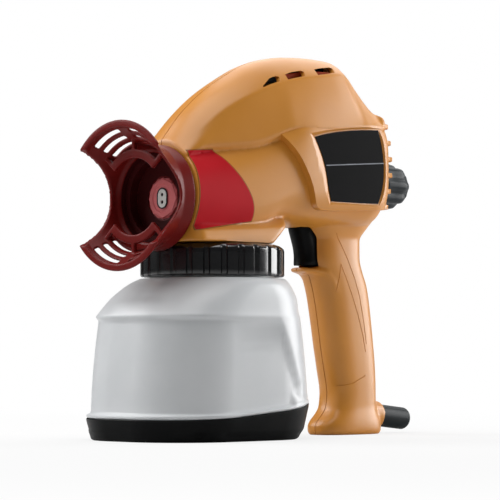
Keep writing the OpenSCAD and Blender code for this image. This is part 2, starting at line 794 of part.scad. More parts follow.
// Rows: height, centre from the heel's centre, half depth, half width.
HANDLE_ROWS = [
    [0, 0, heel_half_l - 1.4, grip_half_w + 0.3],
    [1.6, 0, heel_half_l, grip_half_w + 1.4],
    [6, 0, heel_half_l, grip_half_w + 1.6],
    [10, 0.7, heel_half_l - 1.6, grip_half_w + 1.4],
    [14, 1.8, heel_half_l - 5, grip_half_w + 0.8],
    [20, 3.2, grip_half_d - 1.6, grip_half_w - 0.2],
    [30, 3.6, grip_half_d - 2.6, grip_half_w - 0.2],
    [48, 1.6, grip_half_d - 1.2, grip_half_w - 0.1],
    [66, -1.2, grip_half_d - 0.3, grip_half_w],
    [84, -4.1, grip_half_d, grip_half_w + 0.2],
    [102, -7.6, grip_half_d + 0.3, grip_half_w + 0.4],
    [110, -10, grip_half_d + 0.5, grip_half_w + 0.5],
    [118, -13.5, grip_half_d + 0.2, grip_half_w + 0.6],
    [128, 0.3 - grip_lean, grip_half_d, grip_half_w + 0.8],
    [142, -grip_lean, grip_half_d, grip_half_w + 1],
    [149, -grip_lean - 0.5, grip_half_d + 5, grip_half_w + 4],
    [158, -grip_lean - 1, grip_half_d + 13, grip_half_w + 9]
];
handle_top = 158;

function handle_height(level) = level * (spray_z - 6.5) / handle_top;

function handle_ring(level, inset, steps) =
    let (
        centre = handle_x + at(HANDLE_ROWS, level, 1),
        half_d = at(HANDLE_ROWS, level, 2) - inset,
        half_w = at(HANDLE_ROWS, level, 3) - inset,
        z = level == 0 ? inset : handle_height(level)
    )
    [for (i = [0:steps])
        let (angle = 180 * i / steps, c = cos(angle))
        [centre + half_d * sign(c) * pow(abs(c), 2 / 2.8), -half_w * pow(sin(angle), 2 / 2.8), z]];

HANDLE_LEVELS = [0, 1.6, 6, 10, 14, 18, 24, 36, 54, 78, 102, 112, 120, 130, 142, 146, 151, 158];
HANDLE_CAVITY = [0, 10, 18, 30, 54, 102, 118, 142, 150, 158];

grip_top_x = handle_x - grip_lean;
grip_front = grip_top_x - grip_half_d;

// Rows: height above the underside, rear end, half width short of the head's.
SKIRT_ROWS = [[0, 25, 3.5], [1.4, 27, 3.5], [7, 34, 4.4], [12, 40.6, 6], [15, 44, 9], [20, 45.5, 14]];

function skirt_ring(rear, half_w, z, inset) =
    let (front = -nose_x + inset, back = rear - inset, wide = half_w - inset, corner = skirt_corner - inset)
    concat(
        [[front, 0, z]],
        [for (i = [0:6]) let (a = 180 + 15 * i)
            [front + corner + corner * cos(a), -wide + corner + corner * sin(a), z]],
        [for (i = [0:6]) let (a = 270 + 15 * i)
            [back - corner + corner * cos(a), -wide + corner + corner * sin(a), z]],
        [[back, 0, z]]
    );

// Skirt over the nut, with a rear face that leans back as it rises.
module skirt(inset) {
    skin([for (row = SKIRT_ROWS)
        skirt_ring(row[1], head_half_w - row[2], skirt_z + max(row[0], inset), inset)]);
}

// Outline of the side panel's raised frame, in the side view.
FRAME = [
    [28, 54], [31, 46], [40, 36], [48, 26], [55, 14], [59.5, 2], [60, -4.5], [150, -6], [150, 60], [40, 60]
];

// Outline of the pocket inside the frame, at its floor.
POCKET = [
    [61.5, 47], [69, 37], [74, 25], [76.5, 12], [76, 2.5], [127, 3], [133, 14], [134.8, 27], [134, 40], [131, 56],
    [61.5, 56]
];

// How far each corner of the pocket opens outwards as its walls lean.
POCKET_LEAN = [
    [-9, 2], [-9, 0], [-8, -1], [-7, -1.5], [-6.5, -4.5], [5, -4.5], [6, -1], [5.5, 0], [6, 1], [5, 3], [-12, 4]
];

function on_side(point, y) = [point[0] * head_length / 198.5, -y, spray_z + point[1]];

module pocket_cut() {
    floor_y = nose_r + 2.1;
    deep = frame_raise;
    skin([
        [for (p = POCKET) on_side(p, floor_y)],
        [for (i = [0:len(POCKET) - 1]) on_side(POCKET[i] + POCKET_LEAN[i], floor_y + deep)],
        [for (i = [0:len(POCKET) - 1]) on_side(POCKET[i] + 1.4 * POCKET_LEAN[i], floor_y + 1.4 * deep)]
    ]);
}

module head_solid() {
    skin([for (u = HEAD_SHARES) dome_ring(u, 0, 6)]);
    skin([for (u = HEAD_SHARES) body_ring(u, 0, 14)]);
    difference() {
        intersection() {
            skin([for (u = FRAME_SHARES) body_ring(u, -frame_raise, 14)]);
            rotate([90, 0, 0]) linear_extrude(height = 60)
                polygon([for (p = FRAME) [p[0] * head_length / 198.5, spray_z + p[1]]]);
        }
        pocket_cut();
    }
    skirt(0);
}

module head_cavity() {
    skin([for (u = CAVITY_SHARES) dome_ring(u, shell_wall, 3)]);
    skin([for (u = CAVITY_SHARES) body_ring(u, shell_wall, 9)]);
    skirt(shell_wall);
}

// Rows: distance behind the rest's tip, half width beyond the trigger's, thickness, rise of the top.
REST_ROWS = [
    [0, -5.6, 1.4, -0.4], [0.7, -3, 2.7, 0.3], [3, -0.7, 3.6, 0.5], [8, 1.5, 3.9, 0.2], [14, 3.4, 4.8, 0],
    [18, 4.9, 6.6, 0], [21, 5.5, 10, 0], [25, 6, 18, 0], [32, 6.2, 28, 0]
];

// Hooked finger rest below the trigger, one half.
module finger_rest() {
    tip_x = grip_front - rest_reach + 2;
    steps = 8;
    skin([for (row = REST_ROWS) [
        for (i = [0:steps])
            let (angle = 90 - 180 * i / steps, s = sin(angle), half_t = row[2] / 2)
            [
                tip_x + row[0], -(trigger_half_w + row[1]) * pow(abs(cos(angle)), 0.6),
                rest_z + row[3] - half_t + half_t * sign(s) * pow(abs(s), 0.6)
            ]
    ]]);
}

trigger_pivot_x = grip_front + 1.5;
trigger_pivot_z = skirt_z + 23;
trigger_top = skirt_z + 15;
trigger_low = trigger_top - trigger_h;
rest_z = trigger_low - 2;

// Positions of the screws in the side view.
SCREWS = [
    [head_x(0.09), spray_z + 38], [head_x(0.44), spray_z + 82], [head_x(0.885), spray_z + 72],
    [head_x(0.93), spray_z + 4], [head_x(0.575), spray_z - 7], [handle_x - 6, 94], [handle_x + 2.5, 34],
    [handle_x - 18, 8.5]
];
screw_r = 1.9;
screw_head_r = 4;
screw_seat = 9.5;
post_r = 6;

module screw_posts() {
    for (p = SCREWS) translate([p[0], 1, p[1]]) rotate([90, 0, 0]) cylinder(r = post_r, h = 60, $fn = 16);
}

// Ribs that carry the pump, the magnet and the switch.
module inner_ribs() {
    for (x = [-22, 22]) translate([x, -60, skirt_z]) cube([3, 60, spray_z - skirt_z + 8]);
    translate([core_x + core_length - 5, -60, core_z]) cube([3, 60 - core_half_w, core_h * 0.8]);
    translate([core_x + 20, -60, core_z - 2.5]) cube([2.5, 60 - core_half_w - cheek_t, core_leg + 2]);
    for (z = [switch_z - switch_half_h, switch_z + switch_half_h - 2.5])
        translate([switch_x + 2, -60, z]) cube([switch_length - 6, 60 - switch_half_w, 2.5]);
    for (x = [handle_x + heel_half_l - 22, handle_x + heel_half_l - 8])
        translate([x, -60, 0]) cube([2.6, 60, 24]);
}

function inlet_axis(d) = [handle_x + heel_half_l - 24 + d * cos(inlet_tilt), 0, inlet_z - d * sin(inlet_tilt)];

inlet_z = inlet_r + 1 + (inlet_length + 24) * sin(7);

module along_inlet(d) {
    translate(inlet_axis(d)) rotate([0, 90 + inlet_tilt, 0]) children();
}

// Rows: start behind the nose as a share of the head's length, length, height, rise.
VENTS = [
    [0.371, 12.5, 0.757, 4.3], [0.488, 14.2, 0.823, 3.1], [0.643, 17, 0.878, 2.5]
];

module vents() {
    for (v = VENTS)
        hull() for (e = [0, 1])
            translate([head_x(v[0]) + e * v[1], -16, spray_z + head_rise * v[2] + e * v[3]])
                rotate([90, 0, 0]) cylinder(r = vent_h / 2, h = 40, $fn = 8);
}

fin_pitch = 11.8;
fin_count = 6;

function fin_z(i) = knob_z - 18.2 - fin_t / 2 + fin_pitch * i;

// One half of a fin in plan, with its end drawn back into the side of the head.
module fin(z) {
    out = head_rear + fin_reach - 0.0055 * pow(z + fin_t / 2 - knob_z - 11.5, 2);
    translate([0, 0, z]) linear_extrude(height = fin_t) polygon([
        [head_rear - 10, 0], [out, 0], [out, -17], [out - 0.6, -22], [out - 1.8, -25.5], [out - 3.6, -27.8],
        [head_rear - 1, -30.5], [head_rear - 10, -32]
    ]);
}

// Fins across the rear face, and the slots between them.
module fins(cut) {
    if (cut)
        for (i = [0:fin_count - 2])
            translate([head_rear - 5, -23, fin_z(i) + fin_t + 1.6]) cube([8, 9, fin_pitch - fin_t - 3.2]);
    else
        for (i = [0:fin_count - 1]) fin(fin_z(i));
}

module half_solid() {
    head_solid();
    skin([for (level = HANDLE_LEVELS) handle_ring(level, 0, 12)]);
    finger_rest();
    fins(false);
    intersection() {
        union() {
            along_knob(head_rear - 4) cylinder(r = knob_r - 4, h = 14, $fn = 32);
            along_inlet(0) rotate_extrude($fn = 32) polygon([
                [0, 12], [inlet_r + 2.2, 12], [inlet_r + 2.2, 26], [inlet_r + 1.2, 27.2], [0, 27.2]
            ]);
        }
        translate([0, -60, 0.4]) cube([300, 60, 300]);
    }
}

// Room inside the shell, with the posts and ribs left standing in it.
module half_room() {
    difference() {
        union() {
            head_cavity();
            skin([for (level = HANDLE_CAVITY) handle_ring(level, shell_wall, 7)]);
        }
        screw_posts();
        inner_ribs();
        translate([trigger_pivot_x, 1, trigger_pivot_z]) rotate([90, 0, 0]) cylinder(r = 5, h = 60, $fn = 16);
    }
}

module housing_half() {
    opening = trigger_half_w + 0.8;
    difference() {
        half_solid();
        half_room();
        vents();
        fins(true);
        // Nose opening, pump, flange column and knob bush.
        along_spray(nose_x - 12) cylinder(r = nose_bore, h = 20);
        along_spray(-barrel_half - 2) cylinder(r = barrel_r, h = 2 * barrel_half + 4);
        translate([0, 0, skirt_z - 1]) cylinder(r = column_r, h = 20);
        along_knob(head_rear - 12) cylinder(r = bush_r, h = 30, $fn = 32);
        // Trigger opening and pin.
        translate([grip_front - 14, -opening, trigger_low - 1.2])
            cube([32, opening + 1, trigger_pivot_z + 8 - trigger_low]);
        translate([trigger_pivot_x - 7, -opening, trigger_pivot_z - 7]) cube([14, opening + 1, 14]);
        cross_pin(trigger_pivot_x, trigger_pivot_z, trigger_pin_r, trigger_pin_half, $fn = 24);
        // Switch, inlet and screws.
        translate([switch_x, -switch_half_w, switch_z - switch_half_h])
            cube([switch_length, 20, 2 * switch_half_h]);
        along_inlet(2) cylinder(r = inlet_r, h = 60, $fn = 32);
        for (p = SCREWS) cross_pin(p[0], p[1], screw_r, 14, $fn = 12);
    }
}

module left_housing() {
    color(TAN) housing_half();
}

module right_housing() {
    color(TAN) difference() {
        mirror([0, 1, 0]) housing_half();
        for (p = SCREWS)
            translate([p[0], screw_seat, p[1]]) rotate([-90, 0, 0]) cylinder(r = screw_head_r + 0.3, h = 60, $fn = 16);
    }
}

module housing_screws() {
    color(STEEL) for (p = SCREWS) translate([p[0], 0, p[1]]) rotate([-90, 0, 0]) {
        translate([0, 0, -14]) cylinder(r = screw_r, h = 14 + screw_seat);
        difference() {
            translate([0, 0, screw_seat]) cylinder(r = screw_head_r, h = 2.6);
            translate([-3, -0.6, screw_seat + 1.4]) cube([6, 1.2, 2]);
            translate([-0.6, -3, screw_seat + 1.4]) cube([1.2, 6, 2]);
        }
    }
}

// ---------------------------------------------------------------- magnet and rocker

armature_t = 6;
pole_gap = stroke + 1.2;
core_x = rocker_front + rocker_t + armature_t + pole_gap;
core_z = rocker_z - 2;
window_h = (core_h - 4 * core_leg) / 2;
window_l = core_length - core_leg - 3;

module laminated_core() {
    color(STEEL) difference() {
        translate([core_x, -core_half_w, core_z]) cube([core_length, 2 * core_half_w, core_h]);
        for (z = [core_leg, core_h - core_leg - window_h])
            translate([core_x - 1, -core_half_w - 1, core_z + z]) cube([window_l + 1, 2 * core_half_w + 2, window_h]);
    }
}

mid_leg_z = core_z + core_leg + window_h;
coil_start = core_x + 1;
coil_length = window_l - 2;

module around_leg(x, length, wrap, side_wrap) {
    translate([x, -core_half_w - side_wrap, mid_leg_z - wrap])
        cube([length, 2 * (core_half_w + side_wrap), 2 * core_leg + 2 * wrap]);
}

module coil_bobbin() {
    flange = 1.4;
    color(BLACK) difference() {
        union() {
            around_leg(coil_start, coil_length, 1.4, 1.4);
            for (x = [coil_start, coil_start + coil_length - flange])
                around_leg(x, flange, window_h - 0.2, 10);
        }
        around_leg(coil_start - 1, coil_length + 2, 0.2, 0.2);
    }
}

module coil_winding() {
    color(COPPER) difference() {
        around_leg(coil_start + 1.4, coil_length - 2.8, window_h - 0.6, 9.4);
        around_leg(coil_start, coil_length, 1.4, 1.4);
    }
}

cheek_t = 2.5;
cheek_lead = 6;
cheek_z = rocker_z - 8;
rod_guide_x = core_x + 18;
rocker_pin_x = rocker_front + rocker_t / 2;

module motor_frame() {
    color(STEEL) difference() {
        union() {
            for (side = [-1, 1])
                translate([rocker_pin_x - cheek_lead, side > 0 ? core_half_w : -core_half_w - cheek_t, cheek_z])
                    cube([core_x + bracket_l - rocker_pin_x + cheek_lead, cheek_t, core_z + core_leg - cheek_z]);
            translate([core_x, -core_half_w - cheek_t, core_z - 2.5])
                cube([bracket_l, 2 * (core_half_w + cheek_t), 2.5]);
            translate([rod_guide_x, -8, knob_z - rod_r - 5]) cube([3, 16, core_z - knob_z + rod_r + 5]);
        }
        cross_pin(rocker_pin_x, rocker_z, rocker_pin_r, core_half_w + cheek_t + 1);
        translate([rod_guide_x - 1, 0, knob_z]) rotate([0, 90, 0]) cylinder(r = rod_r + run, h = 5);
    }
}

module rocker_pin() {
    color(STEEL) cross_pin(rocker_pin_x, rocker_z, rocker_pin_r, core_half_w + cheek_t);
}

module rocker() {
    foot_z = spray_z - 4.5;
    color(STEEL) difference() {
        union() {
            translate([rocker_front, -rocker_half_w, foot_z])
                cube([rocker_t, 2 * rocker_half_w, core_z + core_h + 1 - foot_z]);
            cross_pin(rocker_pin_x, rocker_z, rocker_pin_r + 3.4, rocker_half_w);
        }
        cross_pin(rocker_pin_x, rocker_z, rocker_pin_r + run, rocker_half_w + 1);
        for (side = [-1, 1])
            translate([rocker_front - 1, side * rocker_half_w - 4, foot_z - 1]) cube([rocker_t + 2, 8, 20]);
    }
}

module armature() {
    bottom = rocker_z + rocker_pin_r + 5;
    color(STEEL) translate([rocker_front + rocker_t, -rocker_half_w + 1, bottom])
        cube([armature_t, 2 * rocker_half_w - 2, core_z + core_h - bottom]);
}

// ---------------------------------------------------------------- flow control

bush_r = 8;
bush_flange_r = 11;
bush_start = head_rear - shell_wall - 1.8;
rod_tip = rocker_front + rocker_t + rod_travel + pass;
knob_start = head_rear + 13;
shank_start = bush_start - 0.1;
rod_end = knob_start + 10;

module along_knob(x) {
    translate([x, 0, knob_z]) rotate([0, 90, 0]) children();
}

module knob_bush() {
    color(BLACK) difference() {
        union() {
            along_knob(bush_start) cylinder(r = bush_r, h = head_rear + 12 - bush_start);
            along_knob(bush_start) cylinder(r = bush_flange_r, h = 1.8);
        }
        along_knob(bush_start - 1) cylinder(r = shank_r + run, h = 22);
    }
}

module control_knob() {
    cone = 9;
    color(BLACK) difference() {
        union() {
            along_knob(knob_start) cylinder(r = knob_r, h = knob_length - cone);
            along_knob(knob_start + knob_length - cone) cylinder(r1 = knob_r, r2 = knob_r - 5, h = cone);
            along_knob(shank_start) cylinder(r = shank_r, h = knob_start - shank_start + 1);
            along_knob(shank_start - 2) cylinder(r = shank_r + 1.6, h = 2);
        }
        for (i = [0:flute_count - 1])
            along_knob(knob_start + 5) rotate(360 * (i + 0.5) / flute_count)
                translate([knob_r + 2.6, 0, 0]) cylinder(r = 4.6, h = knob_length);
        along_knob(shank_start - 3) cylinder(r = rod_r + run, h = rod_end - shank_start + 5);
    }
}

module adjusting_rod() {
    color(STEEL) along_knob(rod_tip) cylinder(r = rod_r, h = rod_end - rod_tip);
}

// ---------------------------------------------------------------- trigger and switch

trigger_pin_half = trigger_half_w + 6;
trigger_front = grip_front - trigger_reach;
trigger_lean = 5.2;
trigger_rear = grip_front + 11;
switch_x = trigger_rear + 8;
switch_length = 18;
switch_half_w = 8;
switch_half_h = 12;
switch_z = lerp(trigger_low, trigger_top, 0.52);
plunger_r = 2.5;
plunger_gap = 0.7;

// Front of the trigger, hollowed for the finger, at a share of its height.
function trigger_face(t) = trigger_front + trigger_lean * 1.12 * pow(sin(180 * 0.62 * (1 - t)), 1.3);

function trigger_ring(t) =
    let (half_w = trigger_half_w - 0.8 * (1 - smooth(t / 0.1)), depth = trigger_half_w - 0.5)
    concat(
        [[trigger_rear, half_w, trigger_low + trigger_h * t], [trigger_rear, -half_w, trigger_low + trigger_h * t]],
        [for (i = [0:12]) let (a = 15 * i)
            [trigger_face(t) + depth * (1 - pow(sin(a), 0.9)), -half_w * cos(a), trigger_low + trigger_h * t]]
    );

module trigger() {
    color(BLACK) difference() {
        union() {
            skin([for (t = [0, 0.04, 0.1, 0.22, 0.36, 0.5, 0.64, 0.78, 0.9, 1]) trigger_ring(t)]);
            translate([trigger_pivot_x - 6, -trigger_half_w, trigger_top - 3])
                cube([12, 2 * trigger_half_w, trigger_pivot_z - trigger_top + 3]);
            cross_pin(trigger_pivot_x, trigger_pivot_z, 6, trigger_half_w);
        }
        cross_pin(trigger_pivot_x, trigger_pivot_z, trigger_pin_r + run, trigger_half_w + 1);
    }
}

module trigger_pin() {
    color(STEEL) cross_pin(trigger_pivot_x, trigger_pivot_z, trigger_pin_r, trigger_pin_half);
}

module trigger_spring() {
    color(STEEL) translate([trigger_rear, 0, switch_z - 7.5]) rotate([0, 90, 0])
        coil_spring(3.2, 0.5, switch_x - trigger_rear, 5);
}

module switch_body() {
    color(BLACK) difference() {
        translate([switch_x, -switch_half_w, switch_z - switch_half_h])
            cube([switch_length, 2 * switch_half_w, 2 * switch_half_h]);
        translate([switch_x - 1, 0, switch_z]) rotate([0, 90, 0]) cylinder(r = plunger_r + run, h = 9);
    }
}

module switch_plunger() {
    color(IVORY) translate([trigger_rear + plunger_gap, 0, switch_z]) rotate([0, 90, 0])
        cylinder(r = plunger_r, h = switch_x - trigger_rear + 4.3 - plunger_gap);
}

// ---------------------------------------------------------------- power inlet

module power_inlet() {
    tip = 24 + inlet_length;
    bore = inlet_r - 2;
    color(BLACK) along_inlet(0) rotate_extrude() polygon([
        [0, 2], [inlet_r, 2], [inlet_r, tip - 2], [inlet_r - 0.6, tip - 0.6], [inlet_r - 1.6, tip], [bore, tip],
        [bore, 30], [0, 30]
    ]);
}

module inlet_blades() {
    color(STEEL) for (side = [-1, 1])
        along_inlet(26) translate([-3, side * 3 - 0.75, 0]) cube([6, 1.5, inlet_length - 8]);
}

left_housing();
right_housing();
housing_screws();
pump_housing();
lid_gasket();
pump_cylinder();
piston();
piston_spring();
outlet_valve();
outlet_valve_spring();
suction_tube();
suction_filter();
return_tube();
laminated_core();
coil_bobbin();
coil_winding();
motor_frame();
rocker_pin();
rocker();
armature();
adjusting_rod();
knob_bush();
control_knob();
trigger();
trigger_pin();
trigger_spring();
switch_body();
switch_plunger();
power_inlet();
inlet_blades();
spray_guard();
guard_sleeve();
tip_holder();
tip_insert();
tip_seal();
ring_nut();
container();
container_foot();
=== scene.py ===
"""Airless paint sprayer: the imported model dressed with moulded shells, finishes, floor, lamps and camera.

Sizes are in millimetres and are turned into metres where a mesh is made. The gun's length runs along x
with the nozzle towards -x, z is the height over the bench, and x = y = 0 is the axis of the container's
neck.
"""

import json
import logging
import math
from dataclasses import dataclass, field
from enum import Enum
from typing import Callable, Mapping, Optional, Sequence

import bmesh
import bpy
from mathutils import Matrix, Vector
from mathutils.bvhtree import BVHTree


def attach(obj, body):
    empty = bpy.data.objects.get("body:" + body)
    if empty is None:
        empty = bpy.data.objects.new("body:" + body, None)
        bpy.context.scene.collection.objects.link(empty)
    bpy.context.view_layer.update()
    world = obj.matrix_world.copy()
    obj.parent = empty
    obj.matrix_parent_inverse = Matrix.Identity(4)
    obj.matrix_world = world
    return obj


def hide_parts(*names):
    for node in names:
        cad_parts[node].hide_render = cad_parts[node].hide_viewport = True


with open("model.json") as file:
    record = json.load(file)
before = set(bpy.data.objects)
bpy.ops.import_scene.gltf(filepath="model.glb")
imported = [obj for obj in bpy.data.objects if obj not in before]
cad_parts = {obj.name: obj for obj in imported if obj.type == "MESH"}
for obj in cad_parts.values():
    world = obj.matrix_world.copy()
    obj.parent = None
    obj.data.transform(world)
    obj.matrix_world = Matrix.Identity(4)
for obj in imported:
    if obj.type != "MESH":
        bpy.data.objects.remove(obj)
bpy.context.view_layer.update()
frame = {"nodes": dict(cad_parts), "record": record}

log = logging.getLogger("sprayer")

MM = 0.001
Point = tuple[float, float, float]
Ring = list[Point]
Outline = Sequence[tuple[float, float]]
Rows = Sequence[Sequence[float]]
Sockets = Mapping[int | str, object]


# ---------------------------------------------------------------- sizes that several classes share

CONTAINER_H = 123.6
NUT_TOP = 134.0
SKIRT_Z = 134.6
SPRAY_Z = 164.5
KNOB_Z = 184.5
NOSE_X = 48.5
HEAD_LENGTH = 198.5
HEAD_RISE = 108.0
HEAD_HALF_W = 41.5
NOSE_R = 36.5
PANEL_Y = NOSE_R + 2.1
SHELL_WALL = 2.8
HANDLE_X = 135.0
HANDLE_TOP = 158
HEEL_HALF_L = 31.5
INLET_TILT = math.radians(6)
INLET_ROOT = (HANDLE_X + HEEL_HALF_L - 24, 16.27)
PIVOT = (94.5, 157.6)
TRIGGER_LOW = 122.6
TRIGGER_TOP = 149.6
WHITE = (1.0, 1.0, 1.0, 1.0)


class Cut(Enum):
    """How one solid acts on another."""

    AWAY = "DIFFERENCE"
    WITH = "UNION"
    COMMON = "INTERSECT"


class Side(Enum):
    """Which half of the gun a piece belongs to, by the sign of y."""

    LEFT = -1
    RIGHT = 1

    @property
    def word(self) -> str:
        """The side's name, as it stands in the names of pieces."""
        return self.name.lower()

    def span(self, near: float, far: float) -> tuple[float, float]:
        """Two distances from the middle as values of y on this side, the lower one first."""
        low, high = sorted((self.value * near, self.value * far))
        return low, high


def inlet_axis(d: float) -> Point:
    """Point on the power inlet's axis, d behind its root inside the heel."""
    return (INLET_ROOT[0] + d * math.cos(INLET_TILT), 0.0, INLET_ROOT[1] - d * math.sin(INLET_TILT))


# ---------------------------------------------------------------- curves and meshes

def lerp(a: float, b: float, t: float) -> float:
    """Value between a and b at share t."""
    return a + (b - a) * t


def ease(t: float) -> float:
    """Smooth step from 0 to 1."""
    s = min(1.0, max(0.0, t))
    return s * s * (3 - 2 * s)


def bulge(value: float, power: float) -> float:
    """Power of a value that keeps its sign, which turns a circle into a rounded square."""
    return math.copysign(abs(value) ** power, value)


def circle(sides: int) -> list[float]:
    """Angles of a full turn in equal steps."""
    return [math.tau * i / sides for i in range(sides)]


def drawn(x: float, y: float, z: float, centre: float, by: float) -> Point:
    """Point moved towards the upright axis at x = centre.

    Args:
        x: Its place along the gun.
        y: Its place across the gun.
        z: Its height.
        centre: Place of the axis along the gun.
        by: How far the point moves.

    Returns:
        The moved point.
    """
    d = math.hypot(x - centre, y)
    k = (d - by) / d
    return (centre + (x - centre) * k, y * k, z)


def mirrored(x: float, half: Outline) -> Ring:
    """Whole ring of the head from one half of it.

    Args:
        x: Place of the ring along the gun.
        half: Half widths and heights over the spray axis, from top to bottom.

    Returns:
        The ring's points, down the left side and up the right one.
    """
    left = [(x, -y, SPRAY_Z + z) for y, z in half]
    right = [(x, y, SPRAY_Z + z) for y, z in reversed(half[1:-1])]
    return left + right


def row_slope(rows: Rows, i: int, k: int) -> float:
    """Slope of a table's column that keeps its curve from overshooting.

    Args:
        rows: Table whose first column rises.
        i: Row at which the slope is taken.
        k: Column that is read.

    Returns:
        The slope at the row.
    """
    last = len(rows) - 1
    before = (rows[i][k] - rows[i - 1][k]) / (rows[i][0] - rows[i - 1][0]) if i > 0 else 0.0
    after = (rows[i + 1][k] - rows[i][k]) / (rows[i + 1][0] - rows[i][0]) if i < last else 0.0
    if i == 0:
        return after
    if i == last:
        return before
    return 0.0 if before * after <= 0 else 2 * before * after / (before + after)


def row_value(rows: Rows, x: float, k: int) -> float:
    """Value of column k at x on a smooth curve through the rows.

    Args:
        rows: Table whose first column rises.
        x: Place along the first column.
        k: Column that is read.

    Returns:
        The value at x.
    """
    i = 0
    while i < len(rows) - 2 and x >= rows[i + 1][0]:
        i += 1
    a, b = rows[i], rows[i + 1]
    h = b[0] - a[0]
    t = min(1.0, max(0.0, (x - a[0]) / h))
    m0, m1 = row_slope(rows, i, k) * h, row_slope(rows, i + 1, k) * h
    return ((2 * t ** 3 - 3 * t * t + 1) * a[k] + (t ** 3 - 2 * t * t + t) * m0
            + (3 * t * t - 2 * t ** 3) * b[k] + (t ** 3 - t * t) * m1)


def soften(outline: Outline, sharp: Sequence[int]) -> list[tuple[float, float]]:
    """Closed outline with its corners cut again and again until it runs smoothly.

    Args:
        outline: Corners of the outline.
        sharp: Numbers of the corners that stay.

    Returns:
        The finer outline.
    """
    points = [(p, i in sharp) for i, p in enumerate(outline)]
    for _ in range(3):
        finer = []
        for i, (p, keep) in enumerate(points):
            q, _ = points[(i + 1) % len(points)]
            b, _ = points[i - 1]
            if keep:
                finer.append((p, True))
            else:
                finer.append(((lerp(p[0], b[0], 0.25), lerp(p[1], b[1], 0.25)), False))
                finer.append(((lerp(p[0], q[0], 0.25), lerp(p[1], q[1], 0.25)), False))
        points = finer
    return [p for p, _ in points]


def placed(name: str, mesh: bpy.types.Mesh) -> bpy.types.Object:
    """New object of a mesh, linked to the scene."""
    obj = bpy.data.objects.new(name, mesh)
    bpy.context.scene.collection.objects.link(obj)
    return obj


def duplicate(obj: bpy.types.Object, name: str) -> bpy.types.Object:
    """New object with a copy of another one's mesh."""
    return placed(name, obj.data.copy())


def make_object(name: str, points: Sequence[Point], faces: Sequence[Sequence[int]]) -> bpy.types.Object:
    """Object with outward faces, from points in millimetres.

    Args:
        name: Object's name.
        points: Corners in millimetres.
        faces: Faces as corner numbers.

    Returns:
        The object, linked to the scene.
    """
    mesh = bpy.data.meshes.new(name)
    mesh.from_pydata([(x * MM, y * MM, z * MM) for x, y, z in points], [], [list(f) for f in faces])
    work = bmesh.new()
    work.from_mesh(mesh)
    bmesh.ops.recalc_face_normals(work, faces=work.faces)
    work.to_mesh(mesh)
    work.free()
    return placed(name, mesh)


def skin(name: str, rings: Sequence[Ring], around: bool = False) -> bpy.types.Object:
    """Closed skin over rings of equal point count.

    Args:
        name: Object's name.
        rings: Rings in order.
        around: Whether the last ring joins the first, so that there are no end faces.

    Returns:
        The object.
    """
    n, m = len(rings[0]), len(rings)
    faces: list[list[int]] = []
    for i in range(m if around else m - 1):
        for j in range(n):
            k, up = (j + 1) % n, ((i + 1) % m) * n
            faces.append([i * n + j, i * n + k, up + k, up + j])
    if not around:
        faces.append(list(range(n)))
        faces.append([(m - 1) * n + j for j in range(n)])
    return make_object(name, [p for ring in rings for p in ring], faces)


def prism(name: str, outline: Outline, low: float, high: float,
          place: Callable[[float, float, float], Point]) -> bpy.types.Object:
    """Outline drawn out between two levels, with place turning (u, v, level) into a point."""
    return skin(name, [[place(u, v, level) for u, v in outline] for level in (low, high)])


def across(u: float, v: float, level: float) -> Point:
    """Point of an outline in the side view, drawn out across the gun."""
    return (u, level, v)


def facing(u: float, v: float, level: float) -> Point:
    """Point of an outline in the front view, drawn out along the gun."""
    return (level, u, v)


def round_ring(centre: Vector, ahead: Vector, radius: float, sides: int) -> Ring:
    """Circle about a centre, square to the way ahead."""
    turn = ahead.to_track_quat("Z", "Y").to_matrix()
    return [tuple(centre + turn @ Vector((radius * math.cos(a), radius * math.sin(a), 0)))
            for a in circle(sides)]


def rod(name: str, start: Point, end: Point, radius: float, sides: int = 32) -> bpy.types.Object:
    """Round bar between two points."""
    a, b = Vector(start), Vector(end)
    return skin(name, [round_ring(p, b - a, radius, sides) for p in (a, b)])


def block(name: str, low: Point, high: Point) -> bpy.types.Object:
    """Plain cutting block between two corners."""
    outline = [(low[0], low[2]), (high[0], low[2]), (high[0], high[2]), (low[0], high[2])]
    return prism(name, outline, low[1], high[1], across)


def tube_along(name: str, path: Sequence[Vector], radius: float, sides: int = 8) -> bpy.types.Object:
    """Round tube along a path.

    Args:
        name: Object's name.
        path: Points of its middle line in millimetres.
        radius: Its radius in millimetres.
        sides: Number of its sides.

    Returns:
        The tube.
    """
    last = len(path) - 1
    return skin(name, [round_ring(p, path[min(i + 1, last)] - path[max(i - 1, 0)], radius, sides)
                       for i, p in enumerate(path)])


def remove(obj: bpy.types.Object) -> None:
    """Takes a scratch object out of the file."""
    mesh = obj.data
    bpy.data.objects.remove(obj, do_unlink=True)
    bpy.data.meshes.remove(mesh)


def swell(obj: bpy.types.Object, by: float) -> bpy.types.Object:
    """Copy of a closed form, grown outwards along its normals.

    Args:
        obj: The form to copy.
        by: Growth in millimetres.

    Returns:
        The grown copy.
    """
    grown = duplicate(obj, "swollen")
    work = bmesh.new()
    work.from_mesh(grown.data)
    work.normal_update()
    for vert in work.verts:
        vert.co += vert.normal * by * MM
    work.to_mesh(grown.data)
    work.free()
    return grown


def bake(obj: bpy.types.Object) -> bpy.types.Object:
    """Applies the object's modifiers to its mesh.

    Args:
        obj: Object with modifiers.

    Returns:
        The same object, without them.
    """
    ready = obj.evaluated_get(bpy.context.evaluated_depsgraph_get())
    mesh = bpy.data.meshes.new_from_object(ready)
    old = obj.data
    obj.modifiers.clear()
    obj.data = mesh
    bpy.data.meshes.remove(old)
    mesh.name = obj.name
    return obj


